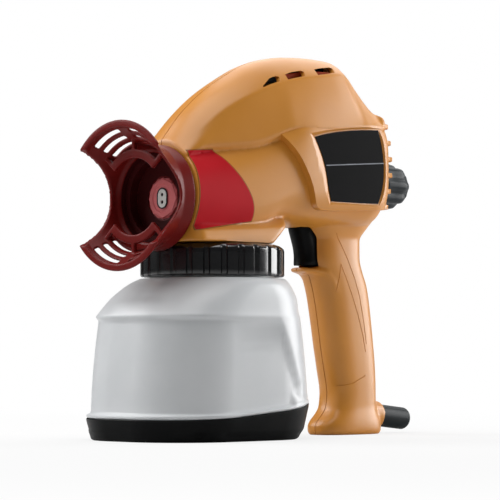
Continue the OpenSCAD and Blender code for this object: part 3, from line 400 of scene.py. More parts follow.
def combine(target: bpy.types.Object, tool: bpy.types.Object, how: Cut,
            keep: bool = False) -> bpy.types.Object:
    """Cuts or joins one closed solid with another.

    Args:
        target: Solid that is changed.
        tool: Solid that acts on it.
        how: Kind of operation.
        keep: Whether the tool stays for another use.

    Returns:
        The changed target.
    """
    change = target.modifiers.new("solid", "BOOLEAN")
    change.operation = how.value
    change.object = tool
    change.solver = "MANIFOLD"
    bake(target)
    if len(target.data.polygons) < 4:
        log.warning("%s is empty after %s with %s", target.name, how.value, tool.name)
    if not keep:
        remove(tool)
    return target


def gather(name: str, objects: Sequence[bpy.types.Object]) -> bpy.types.Object:
    """Joins the meshes of several objects, which may overlap, into one object.

    Args:
        name: Name of the joined object.
        objects: Objects that are joined and taken out of the file.

    Returns:
        The joined object.
    """
    work = bmesh.new()
    for obj in objects:
        work.from_mesh(obj.data)
    mesh = bpy.data.meshes.new(name)
    work.to_mesh(mesh)
    work.free()
    for obj in objects:
        remove(obj)
    return placed(name, mesh)


def mould(obj: bpy.types.Object, voxel: float, passes: int) -> bpy.types.Object:
    """Melts overlapping solids into one skin and rounds its edges, as a mould does.

    Args:
        obj: Overlapping closed solids.
        voxel: Size of the skin's faces in millimetres.
        passes: How far the edges are rounded.

    Returns:
        The object with one closed skin.
    """
    melt = obj.modifiers.new("melt", "REMESH")
    melt.mode = "VOXEL"
    melt.voxel_size = voxel * MM
    melt.use_smooth_shade = True
    relax = obj.modifiers.new("relax", "SMOOTH")
    relax.factor = 0.5
    relax.iterations = passes
    return bake(obj)


def shade(obj: bpy.types.Object, angle: float) -> None:
    """Smooth shading with sharp edges above an angle in degrees."""
    obj.data.shade_smooth()
    obj.data.set_sharp_from_angle(angle=math.radians(angle))


def rounded(obj: bpy.types.Object, width: float, segments: int, angle: float) -> bpy.types.Object:
    """Rounds the object's edges.

    Args:
        obj: Closed solid.
        width: Width of the rounding in millimetres.
        segments: Number of faces across it.
        angle: Angle in degrees above which an edge is rounded.

    Returns:
        The rounded solid.
    """
    bevel = obj.modifiers.new("edge", "BEVEL")
    bevel.width = width * MM
    bevel.segments = segments
    bevel.limit_method = "ANGLE"
    bevel.angle_limit = math.radians(angle)
    bevel.harden_normals = False
    return bake(obj)


# ---------------------------------------------------------------- finishes

class NodeTree:
    """Node tree of a material or of the world, to which nodes are added."""

    def __init__(self, owner: bpy.types.Material | bpy.types.World, clear: bool = False) -> None:
        """Opens the owner's tree.

        Args:
            owner: Material or world that the tree belongs to.
            clear: Whether the nodes that stand in it at first are taken out.
        """
        owner.use_nodes = True
        self.tree: bpy.types.NodeTree = owner.node_tree
        if clear:
            self.tree.nodes.clear()

    def fill(self, node: bpy.types.Node, sockets: Sockets) -> None:
        """Fills a node's inputs.

        Args:
            node: The node.
            sockets: Input to what goes there: another node's output, which is linked, or a plain value.
        """
        for name, value in sockets.items():
            if isinstance(value, bpy.types.NodeSocket):
                self.tree.links.new(value, node.inputs[name])
            else:
                node.inputs[name].default_value = value

    def add(self, kind: str, sockets: Optional[Sockets] = None) -> bpy.types.Node:
        """New node of a kind, with its inputs filled."""
        node = self.tree.nodes.new(f"ShaderNode{kind}")
        self.fill(node, sockets or {})
        return node


def tone(code: str) -> tuple[float, float, float, float]:
    """Linear colour of a screen colour.

    Args:
        code: Screen colour such as d69648.

    Returns:
        Red, green and blue in linear light, and 1.
    """
    parts = [int(code[i:i + 2], 16) / 255 for i in (0, 2, 4)]
    linear = [p / 12.92 if p <= 0.04045 else ((p + 0.055) / 1.055) ** 2.4 for p in parts]
    return (linear[0], linear[1], linear[2], 1.0)


@dataclass(frozen=True)
class Finish:
    """A surface finish: two close tones, a grain, and how smooth it is.

    Attributes:
        name: Material's name.
        light: Lighter tone as a screen colour.
        dark: Darker tone as a screen colour.
        roughness: Mean roughness.
        spread: How far the roughness wanders.
        grain: Size of the grain in millimetres.
        depth: Height of the grain in millimetres.
        patch: Size of the slow colour changes in millimetres.
        metallic: Share of metal.
        scatter: Weight of the light that passes below the surface.
        clear: Share of light that passes through.
        brushed: How far the grain is drawn out along the gun.
        shine: Strength of the plain reflection.
    """

    name: str
    light: str
    dark: str
    roughness: float
    spread: float = 0.06
    grain: float = 0.6
    depth: float = 0.02
    patch: float = 18.0
    metallic: float = 0.0
    scatter: float = 0.0
    clear: float = 0.0
    brushed: float = 1.0
    shine: float = 0.5

    def make(self) -> bpy.types.Material:
        """Node material of this finish, made once.

        Returns:
            The material.
        """
        made = bpy.data.materials.get(self.name)
        if made:
            return made
        material = bpy.data.materials.new(self.name)
        tree = NodeTree(material)
        place = tree.add("TexCoord")
        stretch = tree.add("Mapping", {"Vector": place.outputs["Object"],
                                       "Scale": (1 / self.brushed, 1.0, 1.0)})
        slow = tree.add("TexNoise", {"Vector": stretch.outputs["Vector"], "Scale": 1 / (self.patch * MM),
                                     "Detail": 3.0})
        colours = tree.add("ValToRGB", {"Fac": slow.outputs["Fac"]})
        ramp = colours.color_ramp.elements
        for element, position, code in zip(ramp, (0.3, 0.7), (self.dark, self.light)):
            element.position = position
            element.color = tone(code)
        fine = tree.add("TexNoise", {"Vector": stretch.outputs["Vector"], "Scale": 1 / (self.grain * MM),
                                     "Detail": 2.0})
        relief = tree.add("Bump", {"Height": fine.outputs["Fac"], "Strength": 0.6,
                                   "Distance": self.depth * MM})
        gloss = tree.add("MapRange", {"Value": slow.outputs["Fac"],
                                      "To Min": max(0.02, self.roughness - self.spread),
                                      "To Max": min(1.0, self.roughness + self.spread)})
        tree.fill(tree.tree.nodes["Principled BSDF"], {
            "Base Color": colours.outputs["Color"], "Normal": relief.outputs["Normal"],
            "Roughness": gloss.outputs["Result"], "Metallic": self.metallic,
            "Specular IOR Level": self.shine, "Subsurface Weight": self.scatter,
            "Subsurface Radius": (0.004, 0.004, 0.004), "Transmission Weight": self.clear, "IOR": 1.46})
        return material


TAN = Finish("tan_moulded_plastic", "d08a33", "cb852f", 0.36,
             spread=0.03, grain=0.5, depth=0.008, patch=40, shine=0.6)
# Reddish brown for the sheets behind the vents: painted shade that stands in for the tan shell's inside in
# shadow.
TAN_PAINTED_SHADE = Finish("tan_painted_shade_plastic", "b2472a", "a23e24", 0.7, grain=0.5, depth=0.01, shine=0.2)
GUARD_RED = Finish("dark_red_moulded_plastic", "701613", "681310", 0.34,
                   spread=0.04, grain=0.5, depth=0.012, shine=0.14)
# Darker red for the cup round the tip, where shade falls in the hollow (painted shade).
CUP_PAINTED_SHADE = Finish("painted_shade_red_plastic", "431112", "3a0e0f", 0.5,
                   spread=0.03, grain=0.5, depth=0.01, shine=0.08)
BOSS_RED = Finish("pale_red_moulded_plastic", "f07c7e", "e67274", 0.42, grain=0.4, depth=0.01, shine=0.3)
PLATE_RED = Finish("red_printed_plate", "bd1a25", "b51721", 0.45,
                   spread=0.03, grain=0.25, depth=0.003, patch=30, shine=0.08)
PLATE_BLACK = Finish("black_printed_plate", "070708", "040405", 0.34,
                     spread=0.03, grain=0.25, depth=0.002, patch=30, shine=0.03)
EDGE_GOLD = Finish("gold_printed_edge", "96622a", "875523", 0.4, grain=0.25, depth=0.003, shine=0.3)
RULE_GREY = Finish("grey_printed_line", "8d9199", "7f838c", 0.4, grain=0.25, depth=0.003, shine=0.2)
BLACK = Finish("black_gloss_plastic", "141517", "0e0f11", 0.2,
               spread=0.04, grain=0.5, depth=0.006, shine=1.0)
FOOT_BLACK = Finish("black_foot_plastic", "0b0c0d", "070808", 0.4,
                    spread=0.04, grain=0.5, depth=0.008, shine=0.1)
BLACK_SATIN = Finish("black_satin_plastic", "1e2428", "181e21", 0.42,
                     spread=0.04, grain=0.4, depth=0.012, shine=0.16)
CLOUDY = Finish("cloudy_container_plastic", "dcdee0", "d5d8da", 0.34,
                spread=0.03, grain=1.4, depth=0.012, patch=40, scatter=0.3, clear=0.08)
IVORY = Finish("white_moulded_plastic", "f4f4ef", "eaeae4", 0.35, grain=0.3, depth=0.006)
RUBBER = Finish("black_rubber", "232426", "1a1b1c", 0.7, grain=0.3, depth=0.02, shine=0.3)
STEEL = Finish("bright_steel", "c3c6ca", "a9adb2", 0.3, grain=0.3, depth=0.006, metallic=1.0, brushed=6.0)
CAST = Finish("die_cast_metal", "b9bcbf", "9fa3a7", 0.48, grain=0.8, depth=0.03, metallic=0.9)
COPPER = Finish("enamelled_copper_wire", "c07a42", "9a5a2c", 0.32,
                grain=0.5, depth=0.04, metallic=0.9, brushed=0.2)

SLOT_FINISH: dict[str, Finish] = {
    "housing_tan": TAN, "guard_red": GUARD_RED, "black_plastic": BLACK_SATIN, "container_cloudy": CLOUDY,
    "ivory_plastic": IVORY, "rubber": RUBBER, "cast_metal": CAST, "steel": STEEL, "copper": COPPER,
}


def dress(obj: bpy.types.Object, finish: Finish, slot: str, body: str, *nodes: str,
          sharp: Optional[float] = None) -> None:
    """Gives a finished piece its shading, its material, its body and the nodes it stands for.

    Args:
        obj: The piece.
        finish: Its finish.
        slot: Material slot of the record that the finish belongs to.
        body: Body it moves with.
        *nodes: CAD nodes that it replaces.
        sharp: Angle in degrees above which its edges are shaded sharp; None keeps its shading.
    """
    if sharp is not None:
        shade(obj, sharp)
    obj.data.materials.clear()
    obj.data.materials.append(finish.make())
    for face in obj.data.polygons:
        face.material_index = 0
    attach(obj, body)
    if nodes:
        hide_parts(*nodes)
    log.info("%s: %d faces, on %s", obj.name, len(obj.data.polygons), body)


# ---------------------------------------------------------------- housing

@dataclass
class Housing:
    """The two tan half shells: nose barrel, domed cover, side panels, skirt and handle.

    Attributes:
        voxel: Size of the moulded skin's faces in millimetres.
        passes: How far its edges are rounded.
        seam: Half width of the gap between the halves.
        raise_front: Height of the panel's frame over the body, up to half of the head's length.
        raise_rear: Height of the frame at the rear.
        slope: Lean of the frame's front edge.
        vent_h: Height of a vent.
        proud: How far the swollen skin that the plates are cut from stands out.
        swollen: The swollen skin, once the shell is built.
        well_room: How much shorter the first vent is on the right, to clear a screw's well.
        shade_sheet: Distances from the middle of the faces of the sheets behind the vents, which are
            coloured as the shell's inside in shade (painted shade).
        groove_r: Radius of the lines scored in the handle.
        screw_seat: Distance of the screws' heads from the seam.
        well_r: Radius of the screws' wells.
        fin_t: Thickness of a rear fin.
        fin_pitch: Distance from fin to fin.
        fin_count: Number of fins.
        fin_reach: Rearmost place of the fins along the gun.
        fin_slot: Distances from the middle of the ends of the slots between the fins.
        bore_r: Radius of the nose's bore, in which the guard's sleeve turns.
        pump_r: Radius of the room for the pump's barrel.
        column_r: Radius of the room for the container's neck.
        bush_r: Radius of the hole for the knob's bush.
        boss_r: Radius of the boss round the bush.
        inlet_r: Radius of the hole for the power inlet.
        collar_r: Radius of the collar round the power inlet.
        dome_rows: Share of the length; crown height; brow's half width and height; the edge's too.
        body_rows: Share of the length; half width; centre height; reach up and down; powers up and down.
        handle_rows: Height; centre along the gun; half depth and half width.
        skirt_rows: Height; rear end; half width at the rear and at the front.
        rest_rows: Place along the gun; half width, thickness and rise of the finger rest.
        panel_frame: Outline of the panel's frame, heights from the spray axis.
        pocket: Outline of the panel's pocket at its floor, heights from the spray axis.
        pocket_lean: How far each corner of the pocket moves up to the frame's face.
        slots: First and last place of each vent along the gun, and its height at the start as a share.
        score_lines: Lines scored in the handle, in the side view.
        screws: Places of the screws' wells in the side view.
    """

    voxel: float = 1.0
    passes: int = 5
    seam: float = 0.3
    raise_front: float = 4.6
    raise_rear: float = 2.6
    slope: float = 0.9
    vent_h: float = 4.7
    proud: float = 0.4
    swollen: Optional[bpy.types.Object] = field(default=None, init=False)
    well_room: float = 5.8
    shade_sheet: tuple[float, float] = (21.5, 22.5)
    groove_r: float = 0.42
    screw_seat: float = 9.5
    well_r: float = 4.3
    fin_t: float = 3.4
    fin_pitch: float = 11.8
    fin_count: int = 6
    fin_reach: float = 161
    fin_slot: tuple[float, float] = (14, 23)
    bore_r: float = 29.4
    pump_r: float = 17
    column_r: float = 20
    bush_r: float = 8
    boss_r: float = 13
    inlet_r: float = 8.25
    collar_r: float = 10.4
    dome_rows: Rows = (
        (0, .367, .45, .306, .60, .258), (.093, .556, .52, .449, .65, .334),
        (.194, .704, .59, .583, .735, .358), (.295, .816, .65, .676, .82, .380),
        (.385, .901, .68, .741, .89, .435), (.471, .953, .70, .790, .95, .490),
        (.577, .988, .705, .832, .99, .496), (.698, 1, .68, .868, 1, .509),
        (.783, .996, .60, .889, 1, .523), (.829, .972, .51, .868, 1, .530),
        (.859, .900, .555, .796, .985, .534), (.894, .802, .59, .722, .96, .538),
        (.932, .678, .665, .645, .91, .541), (.948, .652, .80, .622, .875, .541),
        (.975, .632, .735, .606, .765, .541), (1, .585, .55, .568, .575, .541))
    body_rows: Rows = (
        (0, 36.5, 0, 36.5, 36.5, 2, 2), (.118, 37.2, .5, 39, 36.5, 2.2, 2.05),
        (.244, 37.8, 3.5, 42, 37, 2.5, 2.15), (.345, 38.2, 7.5, 44, 33, 2.9, 2.3),
        (.421, 38.4, 11.5, 45, 27.5, 3.3, 2.5), (.547, 38.6, 19.5, 42, 34.5, 4.5, 2.8),
        (.748, 38.6, 23.5, 40, 38.5, 5, 2.9), (.889, 38.4, 24.5, 38, 39.5, 5, 3),
        (.945, 36, 25.5, 37, 39, 4.5, 3), (.980, 31.5, 26, 36, 35, 4, 2.8),
        (1, 25.5, 26.5, 33.5, 29, 3.6, 2.6))
    handle_rows: Rows = (
        (0, 0, 30.1, 15.7), (1.6, 0, 31.5, 16.8), (6, 0, 31.5, 17), (10, .7, 29.9, 16.8),
        (14, 1.8, 26.5, 16.2), (20, 3.2, 23.4, 15.2), (30, 3.6, 22.4, 15.2), (48, 1.6, 23.8, 15.3),
        (66, -1.2, 24.7, 15.4), (84, -4.1, 25, 15.6), (102, -7.6, 25.3, 15.8), (110, -10, 25.5, 15.9),
        (118, -13.5, 25.2, 16), (128, -16.7, 25, 16.2), (142, -17, 25, 16.4), (149, -17.5, 30, 19.4),
        (158, -18, 38, 24.4))
    skirt_rows: Rows = (
        (0, 25, 38, 38), (1.4, 27, 38, 37.6), (7, 34, 37.1, 35.6), (12, 40.6, 35.5, 31.5),
        (15, 44, 32.5, 27), (20, 45.5, 27.5, 23))
    rest_rows: Rows = (
        (84.1, 3.4, 1.4, -0.4), (84.7, 6, 2.7, 0.3), (87, 8.3, 3.6, 0.5), (92, 10.5, 3.9, 0.2),
        (98, 12.4, 4.8, 0), (102, 13.9, 6.6, 0), (105, 14.5, 10, 0), (109, 15, 18, 0), (116, 15.2, 28, 0))
    panel_frame: Outline = (
        (28, 54), (31, 46), (40, 36), (48, 26), (55, 14), (59.5, 4), (63, -2), (72, -5.4), (150, -0.5),
        (150, 60), (40, 60))
    pocket: Outline = (
        (62, 47.4), (66.2, 40.6), (70.4, 32.8), (74, 22.9), (76.2, 10.9), (78.8, 1.6), (130.2, 1.7),
        (133.8, 9.8), (136.2, 19.3), (136.6, 29.8), (135.3, 39.9), (133, 49.5), (130.6, 57.2), (112, 55.9),
        (92.3, 53.8), (72.6, 50.6))
    pocket_lean: Outline = (
        (-9, 2), (-9, 0), (-8.5, -.5), (-8, -1), (-7.5, -1.5), (-6.5, -7), (5, -4), (3, -1), (3, -.5),
        (3, 0), (3, .5), (2.5, .5), (2.5, 1.5), (0, 2.2), (0, 2.2), (-4, 2.2))
    slots: Rows = ((23.5, 39.2, 0.25), (46.8, 64.2, 0.85), (77.5, 97.6, 0.9))
    score_lines: Sequence[Outline] = (
        ((108, 146), (114, 138), (121.5, 127), (129, 114), (134.5, 101), (139, 84), (142.5, 66)),
        ((114, 124), (120, 113.5), (126.5, 101), (132.5, 88), (138.5, 72), (141.5, 60)),
        ((114, 124), (113, 114), (110.5, 104)),
        ((105, 34.5), (117, 35.5), (128, 37.5), (141, 43)))
    screws: Outline = field(default_factory=lambda: [
        *[(HEAD_LENGTH * u - NOSE_X, SPRAY_Z + z)
          for u, z in ((.09, 38), (.44, 82), (.885, 72), (.93, 4), (.575, -7))],
        (129, 94), (137.5, 34), (117, 8.5)])

    @staticmethod
    def along(u: float, inset: float = 0.0) -> float:
        """Place along the gun of a share of the head's length, with both ends drawn in."""
        return u * HEAD_LENGTH - NOSE_X + (inset if u == 0 else -inset if u == 1 else 0)

    def brow(self, u: float) -> tuple[float, float]:
        """Half width and height of the dome's brow at a share of the head's length."""
        share_y, share_z = (row_value(self.dome_rows, u, k) for k in (2, 3))
        return HEAD_HALF_W * share_y, SPRAY_Z + HEAD_RISE * share_z

    def dome_ring(self, u: float, inset: float, steps: int) -> Ring:
        """Whole section of the dome: a curved crown, a nearly straight flank and a tucked lower edge.

        Args:
            u: Share of the head's length.
            inset: How far the section is drawn in, which is the wall on the inside.
            steps: Number of steps from crown to brow.

        Returns:
            The section.
        """
        crown = HEAD_RISE * row_value(self.dome_rows, u, 1) - inset
        brow_y = HEAD_HALF_W * row_value(self.dome_rows, u, 2) - inset * 0.7
        brow_z = HEAD_RISE * row_value(self.dome_rows, u, 3) - inset * 0.7
        edge_y = HEAD_HALF_W * row_value(self.dome_rows, u, 4) - inset
        edge_z = HEAD_RISE * row_value(self.dome_rows, u, 5)
        bend_y = brow_y * 0.56
        half: list[tuple[float, float]] = []
        for i in range(steps + 1):
            t = i / steps
            s = 1 - t
            half.append((2 * s * t * bend_y + t * t * brow_y,
                         s * s * crown + 2 * s * t * crown + t * t * brow_z))
        flank = max(3, steps // 2)
        for i in range(1, flank + 1):
            t = i / flank
            half.append((lerp(brow_y, edge_y, t) + 0.8 * math.sin(math.pi * t), lerp(brow_z, edge_z, t)))
        half += [(edge_y - 1.6, edge_z - 3.2), (edge_y - 6, edge_z - 7), (0, edge_z - 10)]
        return mirrored(self.along(u, inset), half)

    def body_ring(self, u: float, inset: float, steps: int) -> Ring:
        """Whole section of the body below the dome: rounded squares above and below its centre.

        Args:
            u: Share of the head's length.
            inset: How far the section is drawn in.
            steps: Number of steps from top to bottom.

        Returns:
            The section, flat where it meets the skirt's level.
        """
        low = SKIRT_Z + max(0.0, inset)
        half_w, centre, up, down, n_up, n_down = (row_value(self.body_rows, u, k) for k in range(1, 7))
        half = []
        for i in range(steps + 1):
            angle = math.pi / 2 - math.pi * i / steps
            s = math.sin(angle)
            n = n_up if s > 0 else n_down
            y = (half_w - inset) * abs(math.cos(angle)) ** (2 / n)
            z = ((up if s > 0 else -down) + (-inset if s > 0 else inset)) * abs(s) ** (2 / n)
            half.append((0.0 if i in (0, steps) else y, max(low, SPRAY_Z + centre + z) - SPRAY_Z))
        return mirrored(self.along(u, inset), half)

    def handle_ring(self, level: float, inset: float, steps: int) -> Ring:
        """Whole section of the handle.

        Args:
            level: Height of the section.
            inset: How far it is drawn in.
            steps: Number of its points.

        Returns:
            The section.
        """
        power = 2 / 2.8
        centre = HANDLE_X + row_value(self.handle_rows, level, 1)
        half_d = row_value(self.handle_rows, level, 2) - inset
        half_w = row_value(self.handle_rows, level, 3) - inset
        z = inset if level == 0 else level
        return [(centre + half_d * bulge(math.cos(a), power), half_w * bulge(math.sin(a), power), z)
                for a in circle(steps)]

    @staticmethod
    def skirt_ring(row: Sequence[float], inset: float) -> Ring:
        """Section of the skirt, with rounded corners.

        Args:
            row: Row of the skirt's table.
            inset: How far the section is drawn in.

        Returns:
            The section.
        """
        rise, rear, wide, wide_front = row
        z, corner = SKIRT_Z + max(rise, inset), 7.0 - inset
        back, front = rear - inset, -NOSE_X + inset
        points = []
        for q, (cx, cy) in enumerate(((back, wide - inset), (front, wide_front - inset),
                                      (front, inset - wide_front), (back, inset - wide))):
            sx, sy = (1 if cx > 0 else -1), (1 if cy > 0 else -1)
            for i in range(9):
                a = math.radians(90 * q + 90 * i / 8)
                points.append((cx - sx * corner + corner * math.cos(a),
                               cy - sy * corner + corner * math.sin(a), z))
        return points

    def skirt(self, inset: float) -> bpy.types.Object:
        """Skirt over the nut, with a rear face that leans back as it rises."""
        return skin("skirt", [self.skirt_ring(row, inset) for row in self.skirt_rows])

    def finger_rest(self) -> bpy.types.Object:
        """Hooked rest below the trigger.

        Returns:
            The rest, running into the handle.
        """
        top, power = TRIGGER_LOW - 2, 0.6
        rings = []
        for x, half_w, thick, rise in self.rest_rows:
            rings.append([(x, half_w * bulge(math.cos(a), power),
                           top + rise - thick / 2 + thick / 2 * bulge(math.sin(a), power))
                          for a in circle(24)])
        return skin("rest", rings)

    def fin_z(self, i: int) -> float:
        """Height of a rear fin's underside."""
        return KNOB_Z - 18.2 - self.fin_t / 2 + self.fin_pitch * i

    def fins(self) -> list[bpy.types.Object]:
        """Fins across the rear face, with their ends drawn back into the sides of the head.

        Returns:
            The fins, from the lowest up.
        """
        made = []
        for i in range(self.fin_count):
            z = self.fin_z(i)
            out = self.fin_reach - 0.0055 * (z + self.fin_t / 2 - KNOB_Z - 11.5) ** 2
            half = [(140, 32), (149, 30.5), (out - 3.6, 27.8), (out - 1.8, 25.5), (out - 0.6, 22),
                    (out, 17), (out, 0)]
            outline = half + [(x, -y) for x, y in reversed(half[:-1])]
            fin = prism(f"fin{i}", outline, z, z + self.fin_t, lambda u, v, level: (u, v, level))
            made.append(rounded(fin, 0.5, 2, 40))
        return made

    def lofts(self, inset: float, counts: tuple[int, int, int],
              steps: tuple[int, int, int]) -> list[bpy.types.Object]:
        """Dome, barrel and handle, each drawn through its sections.

        Args:
            inset: How far the sections are drawn in.
            counts: Number of spans along the dome, the barrel and the handle.
            steps: Number of steps round each one's sections.

        Returns:
            The three solids.
        """
        dome, barrel, grip = counts
        levels = [HANDLE_TOP * i / grip for i in range(grip + 1)]
        return [skin("dome", [self.dome_ring(i / dome, inset, steps[0]) for i in range(dome + 1)]),
                skin("barrel", [self.body_ring(i / barrel, inset, steps[1]) for i in range(barrel + 1)]),
                skin("handle", [self.handle_ring(level, inset, steps[2]) for level in levels])]

    def outer(self) -> bpy.types.Object:
        """Whole outer form, melted into one moulded skin.

        Returns:
            The closed form, with fins, raised frames and pockets.
        """
        parts = self.lofts(0, (90, 90, 70), (22, 44, 64))
        parts += [self.skirt(0), self.finger_rest(),
                  rod("knob_boss", (146, 0, KNOB_Z), (160, 0, KNOB_Z), self.boss_r)]
        collar = rod("inlet_collar", inlet_axis(12), inlet_axis(26.6), self.collar_r)
        parts.append(combine(collar, block("above", (100, -30, 0.4), (200, 30, 60)), Cut.COMMON))
        shell = mould(gather("shell", parts), self.voxel, self.passes)
        for fin in self.fins():
            combine(shell, fin, Cut.WITH)
        for side in Side:
            combine(shell, self.raised(side), Cut.WITH)
            combine(shell, self.pocket_tool(side), Cut.AWAY)
        return shell

    def raised(self, side: Side) -> bpy.types.Object:
        """Raised frame round the side panel, with a steep front edge.

        Args:
            side: Side of the gun.

        Returns:
            The frame as a slab over the body.
        """
        sections = []
        for i in range(81):
            u = lerp(0.36, 1, i / 80)
            rise = lerp(self.raise_front, self.raise_rear, max(0.0, (u - 0.5) / 0.5))
            sections.append(self.body_ring(u, -rise, 64))
        slab = skin("raised", sections)
        rings = []
        for y, shift in ((10.0, 0.0), (PANEL_Y - 0.6, 0.0), (PANEL_Y + self.raise_front, self.slope),
                         (PANEL_Y + 4 * self.raise_front, self.slope)):
            corners = [(x + (shift if i < 8 else 0.0), SPRAY_Z + z)
                       for i, (x, z) in enumerate(self.panel_frame)]
            rings.append([(x, side.value * y, z) for x, z in soften(corners, sharp=(0, 8, 9, 10))])
        return combine(slab, skin("frame_cut", rings), Cut.COMMON)

    def pocket_tool(self, side: Side) -> bpy.types.Object:
        """Pocket with leaning walls, cut into the raised frame.

        Args:
            side: Side of the gun.

        Returns:
            The tool that cuts the pocket.
        """
        rings = []
        for share in (0.0, 1.0, 3.0):
            corners = [(x + share * dx, SPRAY_Z + z + share * dz)
                       for (x, z), (dx, dz) in zip(self.pocket, self.pocket_lean)]
            rings.append([(x, side.value * (PANEL_Y + share * self.raise_front), z)
                          for x, z in soften(corners, sharp=(0, 5, 6, 12))])
        return skin("pocket", rings)

    def hollow(self) -> bpy.types.Object:
        """Room inside the shell.

        Returns:
            The room as a tool.
        """
        room, *others = self.lofts(SHELL_WALL, (30, 30, 24), (9, 20, 28))
        for other in [*others, self.skirt(SHELL_WALL)]:
            combine(room, other, Cut.WITH)
        return room

    def vents(self, side: Side) -> list[bpy.types.Object]:
        """Slots just above the brow.

        Args:
            side: Side of the gun; the first slot stops short of a screw's well on the right.

        Returns:
            The tools that cut the slots.
        """
        tools = []
        for number, (start, end, taper) in enumerate(self.slots):
            if number == 0 and side is Side.RIGHT:
                end -= self.well_room
            rings = []
            for i in range(9):
                t = i / 8
                x = lerp(start, end, t)
                half_w, z = self.brow((x + NOSE_X) / HEAD_LENGTH)
                tall = self.vent_h * min(1.0, lerp(taper, 1.15, t * 1.6)) * (0.75 if t == 1 else 1)
                low, lean = z + 1.0 + 0.3 * t, 1.5 * t
                inner, out = side.value * (half_w - 14), side.value * (half_w + 20)
                rings.append([(x, inner, low), (x, out, low), (x + lean, out, low + tall),
                              (x + lean, inner, low + tall)])
            tools.append(skin("vent", rings))
        return tools

    def grooves(self, shell: bpy.types.Object, side: Side) -> list[bpy.types.Object]:
        """Fine lines scored in the handle's side, laid on the shell's skin.

        Args:
            shell: The moulded form that is scored.
            side: Side of the gun.

        Returns:
            The tools that score the lines.
        """
        work = bmesh.new()
        work.from_mesh(shell.data)
        tree = BVHTree.FromBMesh(work)
        work.free()
        tools = []
        for line in self.score_lines:
            dense = [(lerp(a[0], b[0], t / 6), lerp(a[1], b[1], t / 6))
                     for a, b in zip(line, line[1:]) for t in range(6)]
            hits = [tree.ray_cast(Vector((x, side.value * 60, z)) * MM, Vector((0, -side.value, 0)))[0]
                    for x, z in (*dense, line[-1])]
            path = [hit / MM for hit in hits if hit is not None]
            if len(path) > 3:
                tools.append(tube_along("groove", path, self.groove_r))
        return tools

    def openings(self, shell: bpy.types.Object) -> list[bpy.types.Object]:
        """Everything that is cut out of the moulded form.

        Args:
            shell: The moulded form.

        Returns:
            The cutting tools, with the room inside the shell first.
        """
        tools = [self.hollow(),
                 rod("bore", (-60, 0, SPRAY_Z), (-36.5, 0, SPRAY_Z), self.bore_r, 96),
                 rod("pump", (-36, 0, SPRAY_Z), (36, 0, SPRAY_Z), self.pump_r, 48),
                 rod("column", (0, 0, SKIRT_Z - 2), (0, 0, SKIRT_Z + 19), self.column_r, 64),
                 rod("bush", (138, 0, KNOB_Z), (168, 0, KNOB_Z), self.bush_r, 48),
                 block("finger", (79, -9.8, 121.4), (111, 9.8, 165.6)),
                 block("switch", (112, -8, TRIGGER_LOW + 2), (130, 8, TRIGGER_LOW + 26)),
                 rod("inlet", inlet_axis(2), inlet_axis(64), self.inlet_r, 48)]
        for side in Side:
            tools += self.vents(side)
            tools += self.grooves(shell, side)
        edge = 1.6
        tall = self.fin_pitch - self.fin_t - 2 * edge
        for i in range(self.fin_count - 1):
            z = self.fin_z(i) + self.fin_t + edge
            for y0, y1 in (side.span(*self.fin_slot) for side in Side):
                tools.append(block("slot", (145, y0, z), (153, y1, z + tall)))
        return tools

    def linings(self, room: bpy.types.Object) -> None:
        """Builds the sheets behind the vents, coloured as the tan shell's inside in shade (painted shade),
        and the black baffle between them, which stands in for the dark inside (painted shade).

        Args:
            room: Room inside the shell, which bounds them.
        """
        # Sheets coloured as the shell's shaded inside, seen through the vents (painted shade).
        sheets = []
        for y0, y1 in (side.span(*self.shade_sheet) for side in Side):
            sheets.append(block("sheet", (42, y0, 246), (104, y1, 268)))
        shade_sheet = combine(gather("vent_painted_shade_sheets", sheets), room, Cut.COMMON, keep=True)
        dress(shade_sheet, TAN_PAINTED_SHADE, "housing_tan", "root", sharp=30)
        # Black sheet between the vents that stands in for the dark inside of the head (painted shade).
        shade_baffle = block("vent_painted_shade_baffle", (14, -0.8, 240), (112, 0.8, 280))
        combine(shade_baffle, room, Cut.COMMON, keep=True)
        dress(shade_baffle, BLACK_SATIN, "black_plastic", "root", sharp=30)

    def build(self) -> None:
        """Builds the two half shells and the painted-shade sheets seen through their vents."""
        shell = self.outer()
        self.swollen = swell(shell, self.proud)
        tools = self.openings(shell)
        self.linings(tools[0])
        for tool in tools:
            combine(shell, tool, Cut.AWAY)
        for side in Side:
            half = duplicate(shell, f"{side.word}_shell")
            y0, y1 = side.span(self.seam, 80)
            combine(half, block("half", (-80, y0, -10), (230, y1, 300)), Cut.COMMON)
            if side is Side.RIGHT:
                for x, z in self.screws:
                    well = rod("well", (x, self.screw_seat, z), (x, 70, z), self.well_r, 24)
                    combine(half, well, Cut.AWAY)
            dress(half, TAN, "housing_tan", "root", f"{side.word}_housing", sharp=32)
        remove(shell)


# ---------------------------------------------------------------- plates

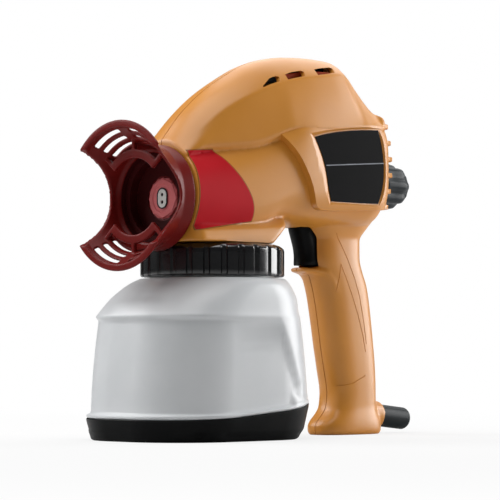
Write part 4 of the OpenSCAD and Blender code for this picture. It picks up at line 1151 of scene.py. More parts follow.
@dataclass
class Plates:
    """Bare printed plates on both sides: a red one behind the nose and a black one in the panel's pocket.

    Attributes:
        housing: The housing that they lie on.
        proud: How far the black plate stands over the pocket's floor.
        rule_proud: How far its dividing line stands over it.
        edge: Width of the red plate's gold edge.
        reach: Distances from the middle between which the red plate is cut out.
        red: Outline of the red plate in the side view.
        black: Outline of the black plate in the side view.
        rule: Outline of the black plate's dividing line.
    """

    housing: Housing
    proud: float = 0.45
    rule_proud: float = 0.12
    edge: float = 0.7
    reach: tuple[float, float] = (8, 60)
    red: Outline = (
        (-46.6, 195.8), (-25.2, 197.4), (-20.0, 193.0), (-14.6, 185.9), (-6.7, 176.5), (-0.7, 168.6),
        (2.9, 161.6), (4.6, 154.9), (4.4, 149.6), (-21, 146.0), (-47.2, 142.0), (-47.6, 149.4),
        (-46.9, 160.4), (-46.4, 172.8), (-45.7, 186.2))
    black: Outline = (
        (62.8, 211.4), (72.6, 214.1), (92.3, 217.5), (112, 219.6), (129.5, 220.6), (132, 213.6),
        (134.3, 204.4), (135.6, 194.3), (135.2, 183.8), (132.6, 174.3), (129.2, 167.0), (109.6, 166.7),
        (79.5, 166.6), (76.9, 175.4), (74.7, 187.4), (71.1, 197.3), (66.9, 205.1))
    rule: Outline = ((74.5, 191.6), (135.4, 196.6), (135.4, 197.3), (74.5, 192.3))

    @staticmethod
    def grown(outline: Outline, by: float) -> list[tuple[float, float]]:
        """Outline pushed outwards from its middle.

        Args:
            outline: The outline.
            by: How far each corner moves.

        Returns:
            The larger outline.
        """
        mid = (sum(x for x, _ in outline) / len(outline), sum(z for _, z in outline) / len(outline))
        made = []
        for x, z in outline:
            reach = math.hypot(x - mid[0], z - mid[1])
            made.append((x + (x - mid[0]) / reach * by, z + (z - mid[1]) / reach * by))
        return made

    @staticmethod
    def cutout(name: str, outline: Outline, side: Side, between: tuple[float, float],
               sharp: Sequence[int]) -> bpy.types.Object:
        """Slab with a smooth outline on one side of the gun.

        Args:
            name: Object's name.
            outline: Corners in the side view.
            side: Side of the gun.
            between: Distances from the middle of its two faces.
            sharp: Numbers of the corners that stay sharp.

        Returns:
            The slab.
        """
        y0, y1 = side.span(*between)
        return prism(name, soften(outline, sharp), y0, y1, across)

    def wrapped(self, name: str, outline: Outline, side: Side, sharp: Sequence[int]) -> bpy.types.Object:
        """Thin plate wrapped on the housing's skin inside an outline.

        Args:
            name: Object's name.
            outline: Corners in the side view.
            side: Side of the gun.
            sharp: Numbers of the corners that stay sharp.

        Returns:
            The plate.
        """
        under = 0.7
        sheet = duplicate(self.housing.swollen, name)
        combine(sheet, self.cutout("outline", outline, side, self.reach, sharp), Cut.COMMON)
        body = [self.housing.body_ring(i / 80, under, 40) for i in range(81)]
        combine(sheet, skin("under", body), Cut.AWAY)
        nose = rod("nose_inside", (-60, 0, SPRAY_Z), (-40, 0, SPRAY_Z), NOSE_R - under, 96)
        combine(sheet, nose, Cut.AWAY)
        shade(sheet, 30)
        return sheet

    def flat(self, name: str, outline: Outline, proud: float, side: Side,
             sharp: Sequence[int]) -> bpy.types.Object:
        """Flat plate in the panel's pocket.

        Args:
            name: Object's name.
            outline: Corners in the side view.
            proud: How far its face stands over the pocket's floor.
            side: Side of the gun.
            sharp: Numbers of the corners that stay sharp.

        Returns:
            The plate.
        """
        face = PANEL_Y + proud
        sheet = self.cutout(name, outline, side, (face - 2.4, face), sharp)
        shade(sheet, 30)
        return sheet

    def build(self) -> None:
        """Builds both plates, the red one's edge and the black one's dividing line on each side."""
        for side in Side:
            corners = (0, 1, 8, 10)
            red = self.wrapped(f"front_plate_{side.word}", self.red, side, corners)
            dress(red, PLATE_RED, "guard_red", "root")
            wider = self.grown(self.red, self.edge)
            edge = self.wrapped(f"front_plate_edge_{side.word}", wider, side, corners)
            combine(edge, self.cutout("inside", self.red, side, self.reach, corners), Cut.AWAY)
            dress(edge, EDGE_GOLD, "guard_red", "root")
            black = self.flat(f"side_plate_{side.word}", self.black, self.proud, side, (0, 4, 10, 12))
            dress(black, PLATE_BLACK, "black_plastic", "root")
            line = self.flat(f"side_plate_line_{side.word}", self.rule, self.proud + self.rule_proud, side,
                             (0, 1, 2, 3))
            dress(line, RULE_GREY, "black_plastic", "root")
        remove(self.housing.swollen)


# ---------------------------------------------------------------- spray guard

@dataclass
class SprayGuard:
    """Dark red guard: collar, two slotted ears and the inner bars, with the octagonal tip holder.

    Distances named as forward run from the gun's middle towards the nozzle.

    Attributes:
        collar_r: Radius of the collar.
        ear_r: Radius of the ears' lips.
        sleeve_r: Radius of the sleeve inside the nose.
        hub_r: Radius of the hole round the tip holder.
        wall: Thickness of the moulding.
        rim: Forward place of the collar's front edge.
        depth: Length of the ears.
        back: Forward place of the sleeve's rear face.
        front_gap: Forward place of the collar's rear face.
        face_r: Radius over the corners of the tip's octagonal face.
        pill_r: Radius of the tip's pill shape.
        orifice_pitch: Distance between the two orifices.
        bar_r: Outer radius of the inner bars.
        bar_w: Width of the bars.
        bar_half: Half thickness of the bars and struts.
        bar_sweep: Angle that a bar runs through, in degrees.
        strut_turns: Angles of the struts from the ear's middle, in degrees.
        strut_half: Half width of the struts.
        slot_w: Width of the ears' slots.
        slot_shares: Places of the slots along the ear, as shares of its length.
        slot_starts: Angles at which the two rows of slots begin, in degrees.
        slot_sweep: Angle that a slot runs through, in degrees.
        slot_tilt: Lean of a slot at the lip, in degrees.
        tip_face: Forward place of the tip's face.
        voxel: Size of the moulded skin's faces.
    """

    collar_r: float = 36.2
    ear_r: float = 49.2
    sleeve_r: float = 29.0
    hub_r: float = 13.9
    wall: float = 2.6
    rim: float = 60.2
    depth: float = 26.0
    back: float = 43.5
    front_gap: float = 50.6
    face_r: float = 14.3
    pill_r: float = 4.1
    orifice_pitch: float = 5.1
    bar_r: float = 32.0
    bar_w: float = 6.0
    bar_half: float = 1.5
    bar_sweep: float = 94
    strut_turns: Sequence[float] = (-45, 0, 45)
    strut_half: float = 1.4
    slot_w: float = 3.4
    slot_shares: Sequence[float] = (0.38, 0.62, 0.84)
    slot_starts: Sequence[float] = (6, -40)
    slot_sweep: float = 34
    slot_tilt: float = 52
    tip_face: float = 47.5
    voxel: float = 0.62

    @property
    def bore_r(self) -> float:
        """Radius of the cup inside the collar."""
        return self.collar_r - self.wall - 3.0

    @property
    def step(self) -> float:
        """Forward place of the cup's step behind the collar."""
        return self.front_gap + self.wall

    def flare_r(self, t: float) -> float:
        """Radius of the ear's outer face from the rim (0) to the lip (1)."""
        return lerp(self.collar_r - 0.6, self.ear_r, 0.35 * t + 0.65 * t * t)

    @staticmethod
    def turned(r: float, angle: float, forward: float) -> Point:
        """Point at a radius and an angle about the spray axis, 0 upwards."""
        return (-forward, -r * math.sin(angle), SPRAY_Z + r * math.cos(angle))

    def lathed(self, name: str, profile: Rows, count: int) -> bpy.types.Object:
        """Ring turned about the spray axis from a profile of radii and forward places."""
        return skin(name, [[self.turned(r, a, f) for r, f in profile] for a in circle(count)], around=True)

    def revolve(self) -> bpy.types.Object:
        """Collar and full flare before the mouth is cut.

        Returns:
            The turned form.
        """
        steps, lip = 12, self.rim + self.depth
        outside = [(self.flare_r(i / steps), self.rim + self.depth * i / steps) for i in range(steps + 1)]
        bead = [(self.ear_r + 1.6, lip + 0.4), (self.ear_r + 1.6, lip + 2.2), (self.ear_r + 0.9, lip + 2.7),
                (self.ear_r - 3.0, lip + 2.7)]
        inside = []
        for i in range(steps - 1, -1, -1):
            t = i / steps
            inside.append((self.flare_r(t) - self.wall * (1 - 0.35 * t),
                           self.rim + self.depth * t + self.wall * 0.35 * t))
        inner = self.sleeve_r - self.wall
        return self.lathed("guard", [
            (self.hub_r, self.back), (self.sleeve_r, self.back), (self.sleeve_r, self.front_gap),
            (self.collar_r, self.front_gap), *outside, *bead, *inside, (self.bore_r, self.rim - 2),
            (self.bore_r, self.step), (inner, self.step), (inner, self.back + 2.6),
            (self.hub_r, self.back + 2.6)], 160)

    def mouth(self) -> bpy.types.Object:
        """Side openings between the ears, a parabola seen across the gun.

        Returns:
            The tool that cuts them.
        """
        curve = [(-(self.rim + 3.2 + 0.0235 * s * s), SPRAY_Z + s) for s in range(-44, 45, 2)]
        return prism("mouth", curve + [(-200, SPRAY_Z + 44), (-200, SPRAY_Z - 44)], -100, 100, across)

    def slot_ring(self, angle: float, t: float) -> Ring:
        """Section of a slot, square to the ear's wall.

        Args:
            angle: Angle about the spray axis.
            t: Share of the ear's length.

        Returns:
            The section's four corners.
        """
        r, f = self.flare_r(t) - self.wall / 2, self.rim + self.depth * t
        tilt = math.radians(self.slot_tilt * t)
        c, s, w = math.cos(tilt), math.sin(tilt), self.slot_w / 2
        return [self.turned(r + du * c + dv * s, angle, f - du * s + dv * c)
                for du, dv in ((-5, -w), (5, -w), (5, w), (-5, w))]

    def slots(self) -> list[bpy.types.Object]:
        """Slots through the ears, two rows of three in each.

        Returns:
            The tools that cut them.
        """
        tools = []
        for base in (0.0, math.pi):
            for start in self.slot_starts:
                angles = [base + math.radians(start + self.slot_sweep * i / 12) for i in range(13)]
                for t in self.slot_shares:
                    tools.append(skin("slot", [self.slot_ring(a, t) for a in angles]))
        return tools

    def bars(self) -> list[bpy.types.Object]:
        """Inner bars and struts of both ears.

        Returns:
            The bars and struts.
        """
        parts = []
        level, half, inner = self.rim + 0.5 * self.depth, self.bar_half, self.bar_r - self.bar_w
        corners = ((inner, -half), (self.bar_r, -half), (self.bar_r, half), (inner, half))
        wide = self.strut_half
        sides = ((-wide, -half), (wide, -half), (wide, half), (-wide, half))
        reach = self.flare_r(0.5) - self.wall + 1.4
        for base in (0.0, math.pi):
            angles = [base + math.radians(self.bar_sweep * i / 30 - self.bar_sweep / 2) for i in range(31)]
            parts.append(skin("bar", [[self.turned(r, a, level + f) for r, f in corners] for a in angles]))
            for turn in self.strut_turns:
                a = base + math.radians(turn)
                parts.append(skin("strut", [[self.turned(r, a + da / r, level + f) for da, f in sides]
                                            for r in (self.bar_r - 1.2, reach)]))
        return parts

    def pill(self, r: float) -> list[tuple[float, float]]:
        """Outline of the tip's pill shape, seen from the front.

        Args:
            r: Radius of its ends.

        Returns:
            The outline.
        """
        points = []
        for way, turn in ((1, 0.0), (-1, math.pi)):
            middle = SPRAY_Z + way * self.orifice_pitch * 0.43
            for i in range(17):
                a = math.pi * i / 16 + turn
                points.append((r * math.cos(a), middle + r * math.sin(a)))
        return points

    def painted_shade_skin(self) -> bpy.types.Object:
        """Darker red skin of the cup round the tip: painted shade of the cup's hollow.

        Returns:
            The skin.
        """
        wide, step, rear, thin = self.bore_r, self.step, self.back + 2.2, 0.3
        tight, hole = self.sleeve_r - self.wall, 15.2
        return self.lathed("cup_painted_shade", (
            (tight, rear), (tight, step + 0.3), (wide, step + 0.3), (wide, self.rim - 2.4),
            (wide - thin, self.rim - 2.4), (wide - thin, step + 0.6), (tight - thin, step + 0.6),
            (tight - thin, rear + 0.9), (hole, rear + 0.9), (hole, rear)), 120)

    def face_ring(self) -> bpy.types.Object:
        """Octagonal face round the tip.

        Returns:
            The face, with a round hole.
        """
        hole, front = 9.3, self.tip_face
        profile = ((hole, front - 1.6, 0), (self.face_r, front - 1.6, 1), (self.face_r, front - 0.8, 1),
                   (self.face_r - 0.9, front, 1), (hole + 0.6, front, 0), (hole, front - 0.5, 0))
        eighth = math.pi / 8
        rings = []
        for a in circle(96):
            local = (a + eighth) % (2 * eighth) - eighth
            flat = math.cos(eighth) / math.cos(local)
            rings.append([self.turned(r * (flat if corner else 1.0), a + eighth, f)
                          for r, f, corner in profile])
        return skin("tip_face", rings, around=True)

    def build(self) -> None:
        """Builds the guard and dresses the tip holder and its insert."""
        guard = self.revolve()
        for tool in (self.mouth(), *self.slots()):
            combine(guard, tool, Cut.AWAY)
        guard = mould(gather("guard_moulding", [guard, *self.bars()]), self.voxel, 3)
        dress(guard, GUARD_RED, "guard_red", "spray_guard", "spray_guard", "guard_sleeve", sharp=60)
        dress(self.face_ring(), BOSS_RED, "guard_red", "spray_guard", sharp=25)
        front = -self.tip_face
        trim = prism("tip_trim", self.pill(self.pill_r + 0.95), front - 0.4, front + 0.5, facing)
        combine(trim, prism("opening", self.pill(self.pill_r + 0.1), -49, -46, facing), Cut.AWAY)
        dress(trim, BLACK, "black_plastic", "spray_guard", sharp=30)
        # Black discs in the two orifices stand in for the shade inside the holes (painted shade).
        heights = [SPRAY_Z + side.value * self.orifice_pitch / 2 for side in Side]
        orifice_shade = gather("tip_orifice_painted_shade", [rod("well", (-46.9, 0, z), (-47.25, 0, z), 1.2, 24) for z in heights])
        dress(orifice_shade, BLACK, "black_plastic", "spray_guard", sharp=30)
        dress(self.painted_shade_skin(), CUP_PAINTED_SHADE, "guard_red", "spray_guard", sharp=40)


# ---------------------------------------------------------------- container

@dataclass
class Container:
    """Cloudy container with its recessed panel and rear rib, and the black foot round its base.

    Attributes:
        half_l: Half length at the foot.
        half_w: Half width at the foot.
        corner: Radius of the corners in plan.
        offset: How far the container's middle lies in front of the neck's axis.
        wall: Thickness of the container.
        shoulder: Height of the shoulder.
        top: Height at which the neck begins.
        panel_depth: Depth of the panel that wraps the front and both sides.
        neck_r: Radius of the neck.
        neck_wall: Thickness of the neck.
        foot_h: Height of the foot at the front.
        foot_rise: How much higher the foot is at the rear.
        foot_wall: Thickness of the foot.
        foot_inset: How far the foot's sole is drawn in.
        foot_gap: Gap between the foot's inner face and the container.
        rear_corner: Place of the rear rib at the foot.
        rib_lean: How far the rib leans forward up to the shoulder.
        steps: Number of steps round each corner.
        levels: Heights of the sections above the panel's lower edge.
        inner_levels: Heights of the sections inside, from the shoulder down.
    """

    half_l: float = 75.0
    half_w: float = 62.0
    corner: float = 51.0
    offset: float = 13.4
    wall: float = 2.2
    shoulder: float = 85.0
    top: float = 110.4
    panel_depth: float = 2.4
    neck_r: float = 43.2
    neck_wall: float = 3.4
    foot_h: float = 15.2
    foot_rise: float = 12.0
    foot_wall: float = 2.6
    foot_inset: float = 4.6
    foot_gap: float = 0.6
    rear_corner: float = 38.0
    rib_lean: float = 32.0
    steps: int = 40
    levels: Sequence[float] = (
        31.5, 38, 45, 52, 59, 66, 72, 76, 78.5, 80.2, 81.4, 82.4, 83.4, 84.2, 85, 86, 87.5, 90, 93, 96, 99,
        102, 105, 107.5, 109.2, 110.4)
    inner_levels: Sequence[float] = (107.4, 104, 100, 95, 90, 86, 82, 76, 66, 50)

    def rows(self) -> Rows:
        """Table of the container's sections.

        Returns:
            Height, half length, half width, corner radius and centre of each.
        """
        low, high, middle = self.shoulder, self.top, -self.offset
        draw = self.foot_wall + self.foot_inset
        return (
            (3.0, self.half_l - draw - 2, self.half_w - draw, self.corner - draw, middle - 1.5),
            (self.foot_h, self.half_l - 0.2, self.half_w - 0.1, self.corner, middle),
            (low - 1.5, self.half_l - 6, self.half_w - 2.2, self.corner - 1, middle),
            (low + 2, self.half_l - 7, self.half_w - 3, self.corner, middle + 1),
            (lerp(low, high, 0.45), self.half_l - 11, self.half_w - 4.5, self.corner + 1, middle * 0.6),
            (lerp(low, high, 0.72), 59, 56, 53.5, middle * 0.35),
            (lerp(low, high, 0.9), 54.6, 54, 54, middle * 0.15),
            (high, 50.5, 50.5, 50.5, 0))

    def plan(self, half_l: float, half_w: float, corner: float, centre: float, z: float) -> Ring:
        """Rounded rectangle in plan.

        Args:
            half_l: Half length.
            half_w: Half width.
            corner: Radius of the corners.
            centre: Place of its middle along the gun.
            z: Height.

        Returns:
            The rectangle's points.
        """
        ring = []
        for q in range(4):
            sx, sy = (1 if q in (0, 3) else -1), (1 if q < 2 else -1)
            for i in range(self.steps):
                a = math.radians(90 * q + 90 * (i + 0.5) / self.steps)
                ring.append((centre + sx * (half_l - corner) + corner * math.cos(a),
                             sy * (half_w - corner) + corner * math.sin(a), z))
        return ring

    def foot_edge(self, x: float) -> float:
        """Height of the foot's rising edge."""
        t = (x + self.offset + self.half_l) / (2 * self.half_l)
        return self.foot_h + self.foot_rise * t * t

    def panel_inset(self, x: float, z: float) -> float:
        """How far the surface is drawn in by the panel that wraps the front and both sides.

        Args:
            x: Place along the gun.
            z: Height.

        Returns:
            The panel's depth there, 0 outside it.
        """
        share = (z - self.foot_h) / (self.shoulder - self.foot_h)
        rib_x = lerp(self.rear_corner, self.rear_corner - self.rib_lean, share)
        return (self.panel_depth * ease((rib_x - x) / 5) * ease((self.shoulder - 1 - z) / 3.5)
                * ease((z - self.foot_h + 2) / 2))

    def ring(self, z: float, inset: float) -> Ring:
        """Section of the container.

        Args:
            z: Height.
            inset: How far it is drawn in.

        Returns:
            The section, with the panel pressed in.
        """
        rows = self.rows()
        half_l, half_w = row_value(rows, z, 1) - inset, row_value(rows, z, 2) - inset
        corner = min(half_l, half_w, row_value(rows, z, 3) - inset)
        centre = row_value(rows, z, 4)
        return [drawn(x, y, z, centre, self.panel_inset(x, z))
                for x, y, _ in self.plan(half_l, half_w, corner, centre, z)]

    def edge_ring(self, grow: float, above: float, draw: float = 0.0) -> Ring:
        """Ring parallel to the foot's rising edge.

        Args:
            grow: How far it stands out.
            above: Its height over the edge.
            draw: How far it is moved towards the front.

        Returns:
            The ring.
        """
        return [(x, y, self.foot_edge(x) + above) for x, y, _ in self.foot_ring(grow, draw, 0)]

    def bead_ring(self, grow: float, above: float, share: float) -> Ring:
        """Ring of the bead that runs over the foot's edge.

        Args:
            grow: How far it stands out.
            above: Its height over the edge.
            share: Share of the panel's depth by which it is drawn in.

        Returns:
            The ring.
        """
        return [drawn(x, y, z, -self.offset, share * self.panel_inset(x, 50.0))
                for x, y, z in self.edge_ring(grow, above)]

    def foot_ring(self, grow: float, draw: float, level: float) -> Ring:
        """Level ring round the foot.

        Args:
            grow: How far it stands out.
            draw: How far it is moved towards the front.
            level: Its height.

        Returns:
            The ring.
        """
        return self.plan(self.half_l + grow, self.half_w + grow, self.corner + grow, -self.offset - draw,
                         level)

    def foot_side(self, z: float) -> Ring:
        """Outer section of the foot, with a shallow scoop at each corner.

        Args:
            z: Height.

        Returns:
            The section.
        """
        t = z / (self.foot_h / 2)
        grow = -self.foot_inset * lerp(1.0, 0.4, ease(t)) - 1.6 * max(0.0, 1 - z / 1.6) ** 2
        depth = 1.5 * math.exp(-((z - 4.6) / 2.0) ** 2)
        ring = []
        for x, y, _ in self.foot_ring(grow, lerp(3, 1.2, t), z):
            turn = math.degrees(math.atan2(abs(y), x + self.offset))
            share = sum(weight * math.exp(-((turn - at) / wide) ** 2)
                        for at, wide, weight in ((44, 4.5, 1), (133, 4.5, 1), (117, 3.5, 0.7)))
            ring.append(drawn(x, y, z, -self.offset, depth * share))
        return ring

    def pot(self) -> bpy.types.Object:
        """Container, from its sole up the outside, over the neck's rim and down the inside.

        Returns:
            The closed form.
        """
        rings = [self.ring(3.0, 0), self.edge_ring(-3.4, -3), self.edge_ring(-0.5, -0.2)]
        rings += [self.bead_ring(grow, above, share) for grow, above, share in (
            (0.25, 0.2, 0), (0.5, 0.7, 0), (0.55, 1.3, 0), (0.35, 1.9, 0), (0.0, 2.4, 0.2),
            (-0.1, 2.9, 0.6), (-0.1, 3.6, 0.92), (-0.1, 4.6, 1))]
        rings += [self.ring(z, 0) for z in self.levels]
        bore = self.neck_r - self.neck_wall
        rings += [self.plan(r, r, r, 0, z) for r, z in (
            (self.neck_r, self.top), (self.neck_r, CONTAINER_H), (bore, CONTAINER_H), (bore, self.top - 1))]
        rings += [self.ring(z, self.wall) for z in self.inner_levels]
        inside = self.wall + self.panel_depth
        rings += [self.edge_ring(-inside, 4), self.edge_ring(-inside - self.foot_wall, -1.4),
                  self.ring(6.0, self.wall + 1.5)]
        return skin("paint_container", rings)

    def foot(self) -> bpy.types.Object:
        """Foot, from its sole up the outside, over the rising edge and down the inside.

        Returns:
            The closed form.
        """
        rings = [self.foot_side(z) for z in (0, 0.3, 0.8, 1.6, 2.4, 3.2, 4, 4.8, 5.6, 6.4, 7.6)]
        rings += [self.edge_ring(grow, above) for grow, above in (
            (0.5, -2.5), (0.7, -0.9), (0.2, -0.3), (-0.4 - self.foot_gap, -1.1),
            (self.foot_gap - self.foot_wall - 0.8, -3.1))]
        rings.append(self.foot_ring(self.foot_gap - self.foot_wall - self.foot_inset, 1.5, self.foot_wall))
        return skin("foot_moulding", rings)

    def build(self) -> None:
        """Builds the container and its foot."""
        dress(self.pot(), CLOUDY, "container_cloudy", "container", "container", sharp=40)
        dress(self.foot(), FOOT_BLACK, "black_plastic", "container", "container_foot", sharp=40)


# ---------------------------------------------------------------- nut, knob, trigger

@dataclass
class RingNut:
    """Black nut with broad rounded ribs.

    Attributes:
        radius: Radius over the ribs.
        ribs: Number of ribs.
        depth: Depth of the grooves between them.
        low: Height of the lower face.
        chamfer: Height of the rounded upper edge.
        inner: Radius of the room for the container's neck.
        throat: Radius of the hole in the upper face.
    """

    radius: float = 50.0
    ribs: int = 26
    depth: float = 1.6
    low: float = 112.0
    chamfer: float = 3.5
    inner: float = 43.7
    throat: float = 36.8

    def radius_at(self, angle: float, r: float, share: float) -> float:
        """Radius with the grooves cut in.

        Args:
            angle: Angle about the nut's axis.
            r: Radius on a rib.
            share: Share of the grooves' depth.

        Returns:
            The radius at the angle.
        """
        pitch = math.tau / self.ribs
        local = abs((angle % pitch) / pitch - 0.5) * 2
        return r - self.depth * share * ease((local - 0.60) / 0.16)

    def build(self) -> None:
        """Builds the nut."""
        low, top, ledge, wide = self.low, NUT_TOP, NUT_TOP - 4, self.radius
        profile = [(wide - 0.8, low, 1.0), (wide - 0.2, low + 0.4, 1.0)]
        profile += [(wide, lerp(low + 1.2, top - self.chamfer - 1.0, i / 6), 1.0) for i in range(7)]
        profile += [(wide - 0.4, top - self.chamfer + 0.6, 0.9), (48.3, top - 1.9, 0.35),
                    (46.6, top - 0.8, 0.0), (44.6, top - 0.15, 0.0), (42.5, top, 0.0),
                    (self.throat, top, 0.0), (self.throat, ledge, 0.0), (self.inner, ledge, 0.0),
                    (self.inner, low, 0.0)]
        rings = []
        for r, z, share in profile:
            reach = [(a, self.radius_at(a, r, share)) for a in circle(self.ribs * 20)]
            rings.append([(out * math.cos(a), out * math.sin(a), z) for a, out in reach])
        nut = skin("ribbed_nut", rings, around=True)
        dress(nut, BLACK, "black_plastic", "ring_nut", "ring_nut", sharp=50)


@dataclass
class FlowKnob:
    """Black lobed flow knob with its shank.

    Attributes:
        profile: Radius; place along the gun; share of the lobes' depth.
        lobes: Number of lobes.
        depth: Depth of the hollows between them.
    """

    profile: Rows = (
        (5.0, 148.5, 0), (5.0, 162.8, 0), (13.4, 162.9, 0), (15.8, 163.3, 0), (16.9, 164.6, 0.1),
        (17.0, 167.5, 0.5), (17.0, 170, 1), (17.0, 178, 1), (16.9, 184, 1), (16.3, 187.6, 1),
        (14.6, 190.2, 0.95), (12.6, 192.6, 0.8), (11.6, 194.6, 0.5), (10.4, 195.7, 0.2), (8.2, 196.0, 0),
        (0.2, 196.0, 0))
    lobes: int = 8
    depth: float = 2.1

    def build(self) -> None:
        """Builds the knob."""
        rings = []
        for r, x, share in self.profile:
            ring = []
            for a in circle(self.lobes * 16):
                wave = 0.5 - 0.5 * math.cos(self.lobes * a)
                out = r - self.depth * share * wave ** 1.4
                ring.append((x, out * math.sin(a), KNOB_Z + out * math.cos(a)))
            rings.append(ring)
        knob = skin("flow_knob", rings)
        dress(knob, BLACK_SATIN, "black_plastic", "control_knob", "control_knob", sharp=40)


@dataclass
class Trigger:
    """Black trigger with a hollowed finger face.

    Attributes:
        half_w: Half width.
        nose_r: Roundness of the finger face in plan.
        hub_r: Radius of the hub round the pin.
        pin_r: Radius of the pin's hole.
    """

    half_w: float = 9.0
    nose_r: float = 8.5
    hub_r: float = 6.0
    pin_r: float = 2.55

    def finger_ring(self, t: float) -> Ring:
        """Section of the trigger, with a rounded front.

        Args:
            t: Share of the trigger's height, from its lower end.

        Returns:
            The section.
        """
        z = lerp(TRIGGER_LOW, TRIGGER_TOP, t)
        front = 79.8 + 5.82 * math.sin(math.pi * (1 - t) * 0.62) ** 1.3
        half_w = self.half_w - 0.8 * (1 - ease(t / 0.08)) - 0.25
        ring = [(104.0, half_w, z), (104.0, -half_w, z)]
        for j in range(25):
            a = math.pi * j / 24
            ring.append((front + self.nose_r - self.nose_r * math.sin(a) ** 0.9, -half_w * math.cos(a), z))
        return ring

    def build(self) -> None:
        """Builds the trigger."""
        x, z = PIVOT
        reach = self.half_w - 0.1
        lever = skin("finger_lever", [self.finger_ring(i / 24) for i in range(25)])
        combine(lever, block("arm", (88.5, -reach, 146), (100.5, reach, z)), Cut.WITH)
        combine(lever, rod("hub", (x, -reach, z), (x, reach, z), self.hub_r), Cut.WITH)
        combine(lever, rod("pin_hole", (x, -20, z), (x, 20, z), self.pin_r), Cut.AWAY)
        dress(lever, FOOT_BLACK, "black_plastic", "trigger", "trigger", sharp=40)


# ---------------------------------------------------------------- carried nodes, stage, lamps and camera

NODE_FINISH: dict[str, Finish] = {"tip_holder": BOSS_RED}


def dress_carried_nodes() -> None:
    """Gives every CAD node its finish, also those that are hidden behind a piece."""
    slots = {row["node"]: row["material_slot"] for row in frame["record"]["subparts"]}
    for name, obj in frame["nodes"].items():
        finish = NODE_FINISH.get(name, SLOT_FINISH.get(slots.get(name, ""), BLACK_SATIN))
        for slot in obj.material_slots:
            slot.material = finish.make()


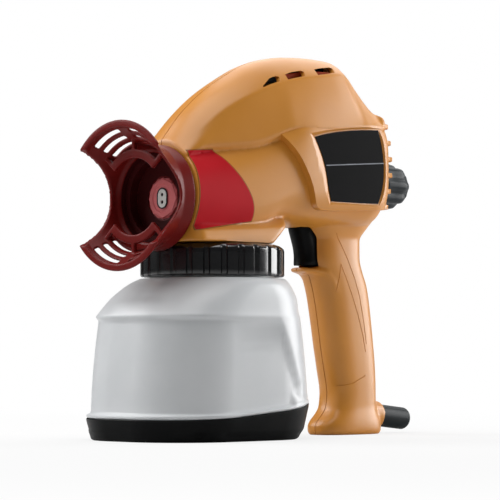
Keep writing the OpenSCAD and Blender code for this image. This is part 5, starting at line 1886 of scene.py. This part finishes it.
@dataclass
class Studio:
    """Plain pale floor, soft lamps and the camera.

    Attributes:
        floor: Floor's screen colour.
        floor_fade: Distances in metres between which the floor fades to white.
        floor_glow: Share of white that the camera sees in the floor, near and far.
        soft_light: Strength of the world's light on the gun.
        aim: Point that the lamps look at, in metres.
        eye: Place of the camera in metres.
        frame_px: Width of the picture in pixels.
        focal_px: Distance to the picture plane in pixels.
        rise_px: How far the camera looks up, in pixels.
        sensor: Width of the sensor in millimetres.
    """

    floor: str = "cfcfcf"
    floor_fade: tuple[float, float] = (0.25, 0.9)
    floor_glow: tuple[float, float] = (0.78, 1.0)
    soft_light: float = 0.08
    aim: Point = (0.05, 0.0, 0.13)
    eye: Point = (-1.1129, -1.1499, 0.0565)
    frame_px: float = 500
    focal_px: float = 2304
    rise_px: float = 107
    sensor: float = 36.0

    def backdrop(self) -> None:
        """World that is white to the camera and through clear plastic, and plain soft light to the rest."""
        world = bpy.data.worlds.new("studio")
        bpy.context.scene.world = world
        tree = NodeTree(world, clear=True)
        path = tree.add("LightPath")
        soft = tree.add("Background", {"Color": WHITE, "Strength": self.soft_light})
        white = tree.add("Background", {"Color": WHITE, "Strength": 1.0})
        seen = tree.add("Math", {0: path.outputs["Is Camera Ray"], 1: path.outputs["Is Transmission Ray"]})
        seen.operation = "MAXIMUM"
        mix = tree.add("MixShader", {0: seen.outputs[0], 1: soft.outputs[0], 2: white.outputs[0]})
        tree.add("OutputWorld", {"Surface": mix.outputs[0]})

    def ground(self) -> None:
        """Pale floor that keeps the object's shadow and fades to white farther out."""
        far = 9000
        corners = [(-far, -far, 0), (far, -far, 0), (far, far, 0), (-far, far, 0)]
        plane = make_object("floor", corners, [(0, 1, 2, 3)])
        material = bpy.data.materials.new("pale_floor")
        tree = NodeTree(material, clear=True)
        cover = tree.add("BsdfDiffuse", {"Color": tone(self.floor)})
        glow = tree.add("Emission", {"Color": WHITE, "Strength": 1.0})
        place = tree.add("TexCoord")
        reach = tree.add("VectorMath", {0: place.outputs["Object"]})
        reach.operation = "LENGTH"
        fade = tree.add("MapRange", {"Value": reach.outputs["Value"],
                                     "From Min": self.floor_fade[0], "From Max": self.floor_fade[1],
                                     "To Min": self.floor_glow[0], "To Max": self.floor_glow[1]})
        fade.interpolation_type = "SMOOTHSTEP"
        path = tree.add("LightPath")
        share = tree.add("Math", {0: path.outputs["Is Camera Ray"], 1: fade.outputs["Result"]})
        share.operation = "MULTIPLY"
        mix = tree.add("MixShader", {0: share.outputs[0], 1: cover.outputs[0], 2: glow.outputs[0]})
        tree.add("OutputMaterial", {"Surface": mix.outputs[0]})
        plane.data.materials.append(material)

    def lamp(self, name: str, bearing: float, rise: float, distance: float, size: tuple[float, float],
             power: float) -> None:
        """Soft lamp that looks at the gun.

        Args:
            name: Lamp's name.
            bearing: Direction from the gun in degrees, from +x towards +y.
            rise: Height above the level in degrees.
            distance: Distance in metres.
            size: Width and height in metres.
            power: Power in watts.
        """
        data = bpy.data.lights.new(name, "AREA")
        data.shape = "RECTANGLE"
        data.size, data.size_y = size
        data.energy = power
        lamp = bpy.data.objects.new(name, data)
        turn, up = math.radians(bearing), math.radians(rise)
        way = Vector((math.cos(turn) * math.cos(up), math.sin(turn) * math.cos(up), math.sin(up)))
        lamp.location = Vector(self.aim) + way * distance
        lamp.rotation_euler = (-way).to_track_quat("-Z", "Y").to_euler()
        bpy.context.scene.collection.objects.link(lamp)

    def lamps(self) -> None:
        """Two side lamps that leave the faces towards the camera darker, one above and one behind."""
        self.lamp("left", 126, 34, 1.5, (0.8, 1.2), 17.5)
        self.lamp("right", 337, 13, 1.5, (0.9, 1.0), 21.0)
        self.lamp("above", 196, 74, 1.5, (1.3, 1.3), 17.0)
        self.lamp("behind", 30, 46, 1.7, (1.4, 1.4), 13.0)

    def camera(self) -> None:
        """Long-lens camera level with the container, looking at the gun's front left quarter."""
        data = bpy.data.cameras.new("view")
        data.sensor_width = self.sensor
        data.lens = self.sensor * self.focal_px / self.frame_px
        data.clip_start = 0.05
        data.clip_end = 60.0
        camera = bpy.data.objects.new("view", data)
        camera.location = self.eye
        rise = math.atan2(self.rise_px, self.focal_px)
        look = Vector((math.cos(rise) / math.sqrt(2), math.cos(rise) / math.sqrt(2), math.sin(rise)))
        camera.rotation_euler = look.to_track_quat("-Z", "Y").to_euler()
        bpy.context.scene.collection.objects.link(camera)
        bpy.context.scene.camera = camera

    def build(self) -> None:
        """Sets the whole stage."""
        self.backdrop()
        self.ground()
        self.lamps()
        self.camera()
        bpy.context.scene.view_settings.view_transform = "Standard"


def main() -> None:
    """Builds every sub-assembly, then the stage."""
    logging.basicConfig(level=logging.INFO, format="%(name)s: %(message)s")
    dress_carried_nodes()
    housing = Housing(voxel=1.0)
    housing.build()
    Plates(housing).build()
    SprayGuard(voxel=0.62).build()
    Container().build()
    RingNut().build()
    FlowKnob().build()
    Trigger().build()
    Studio().build()


if __name__ == "__main__":
    main()
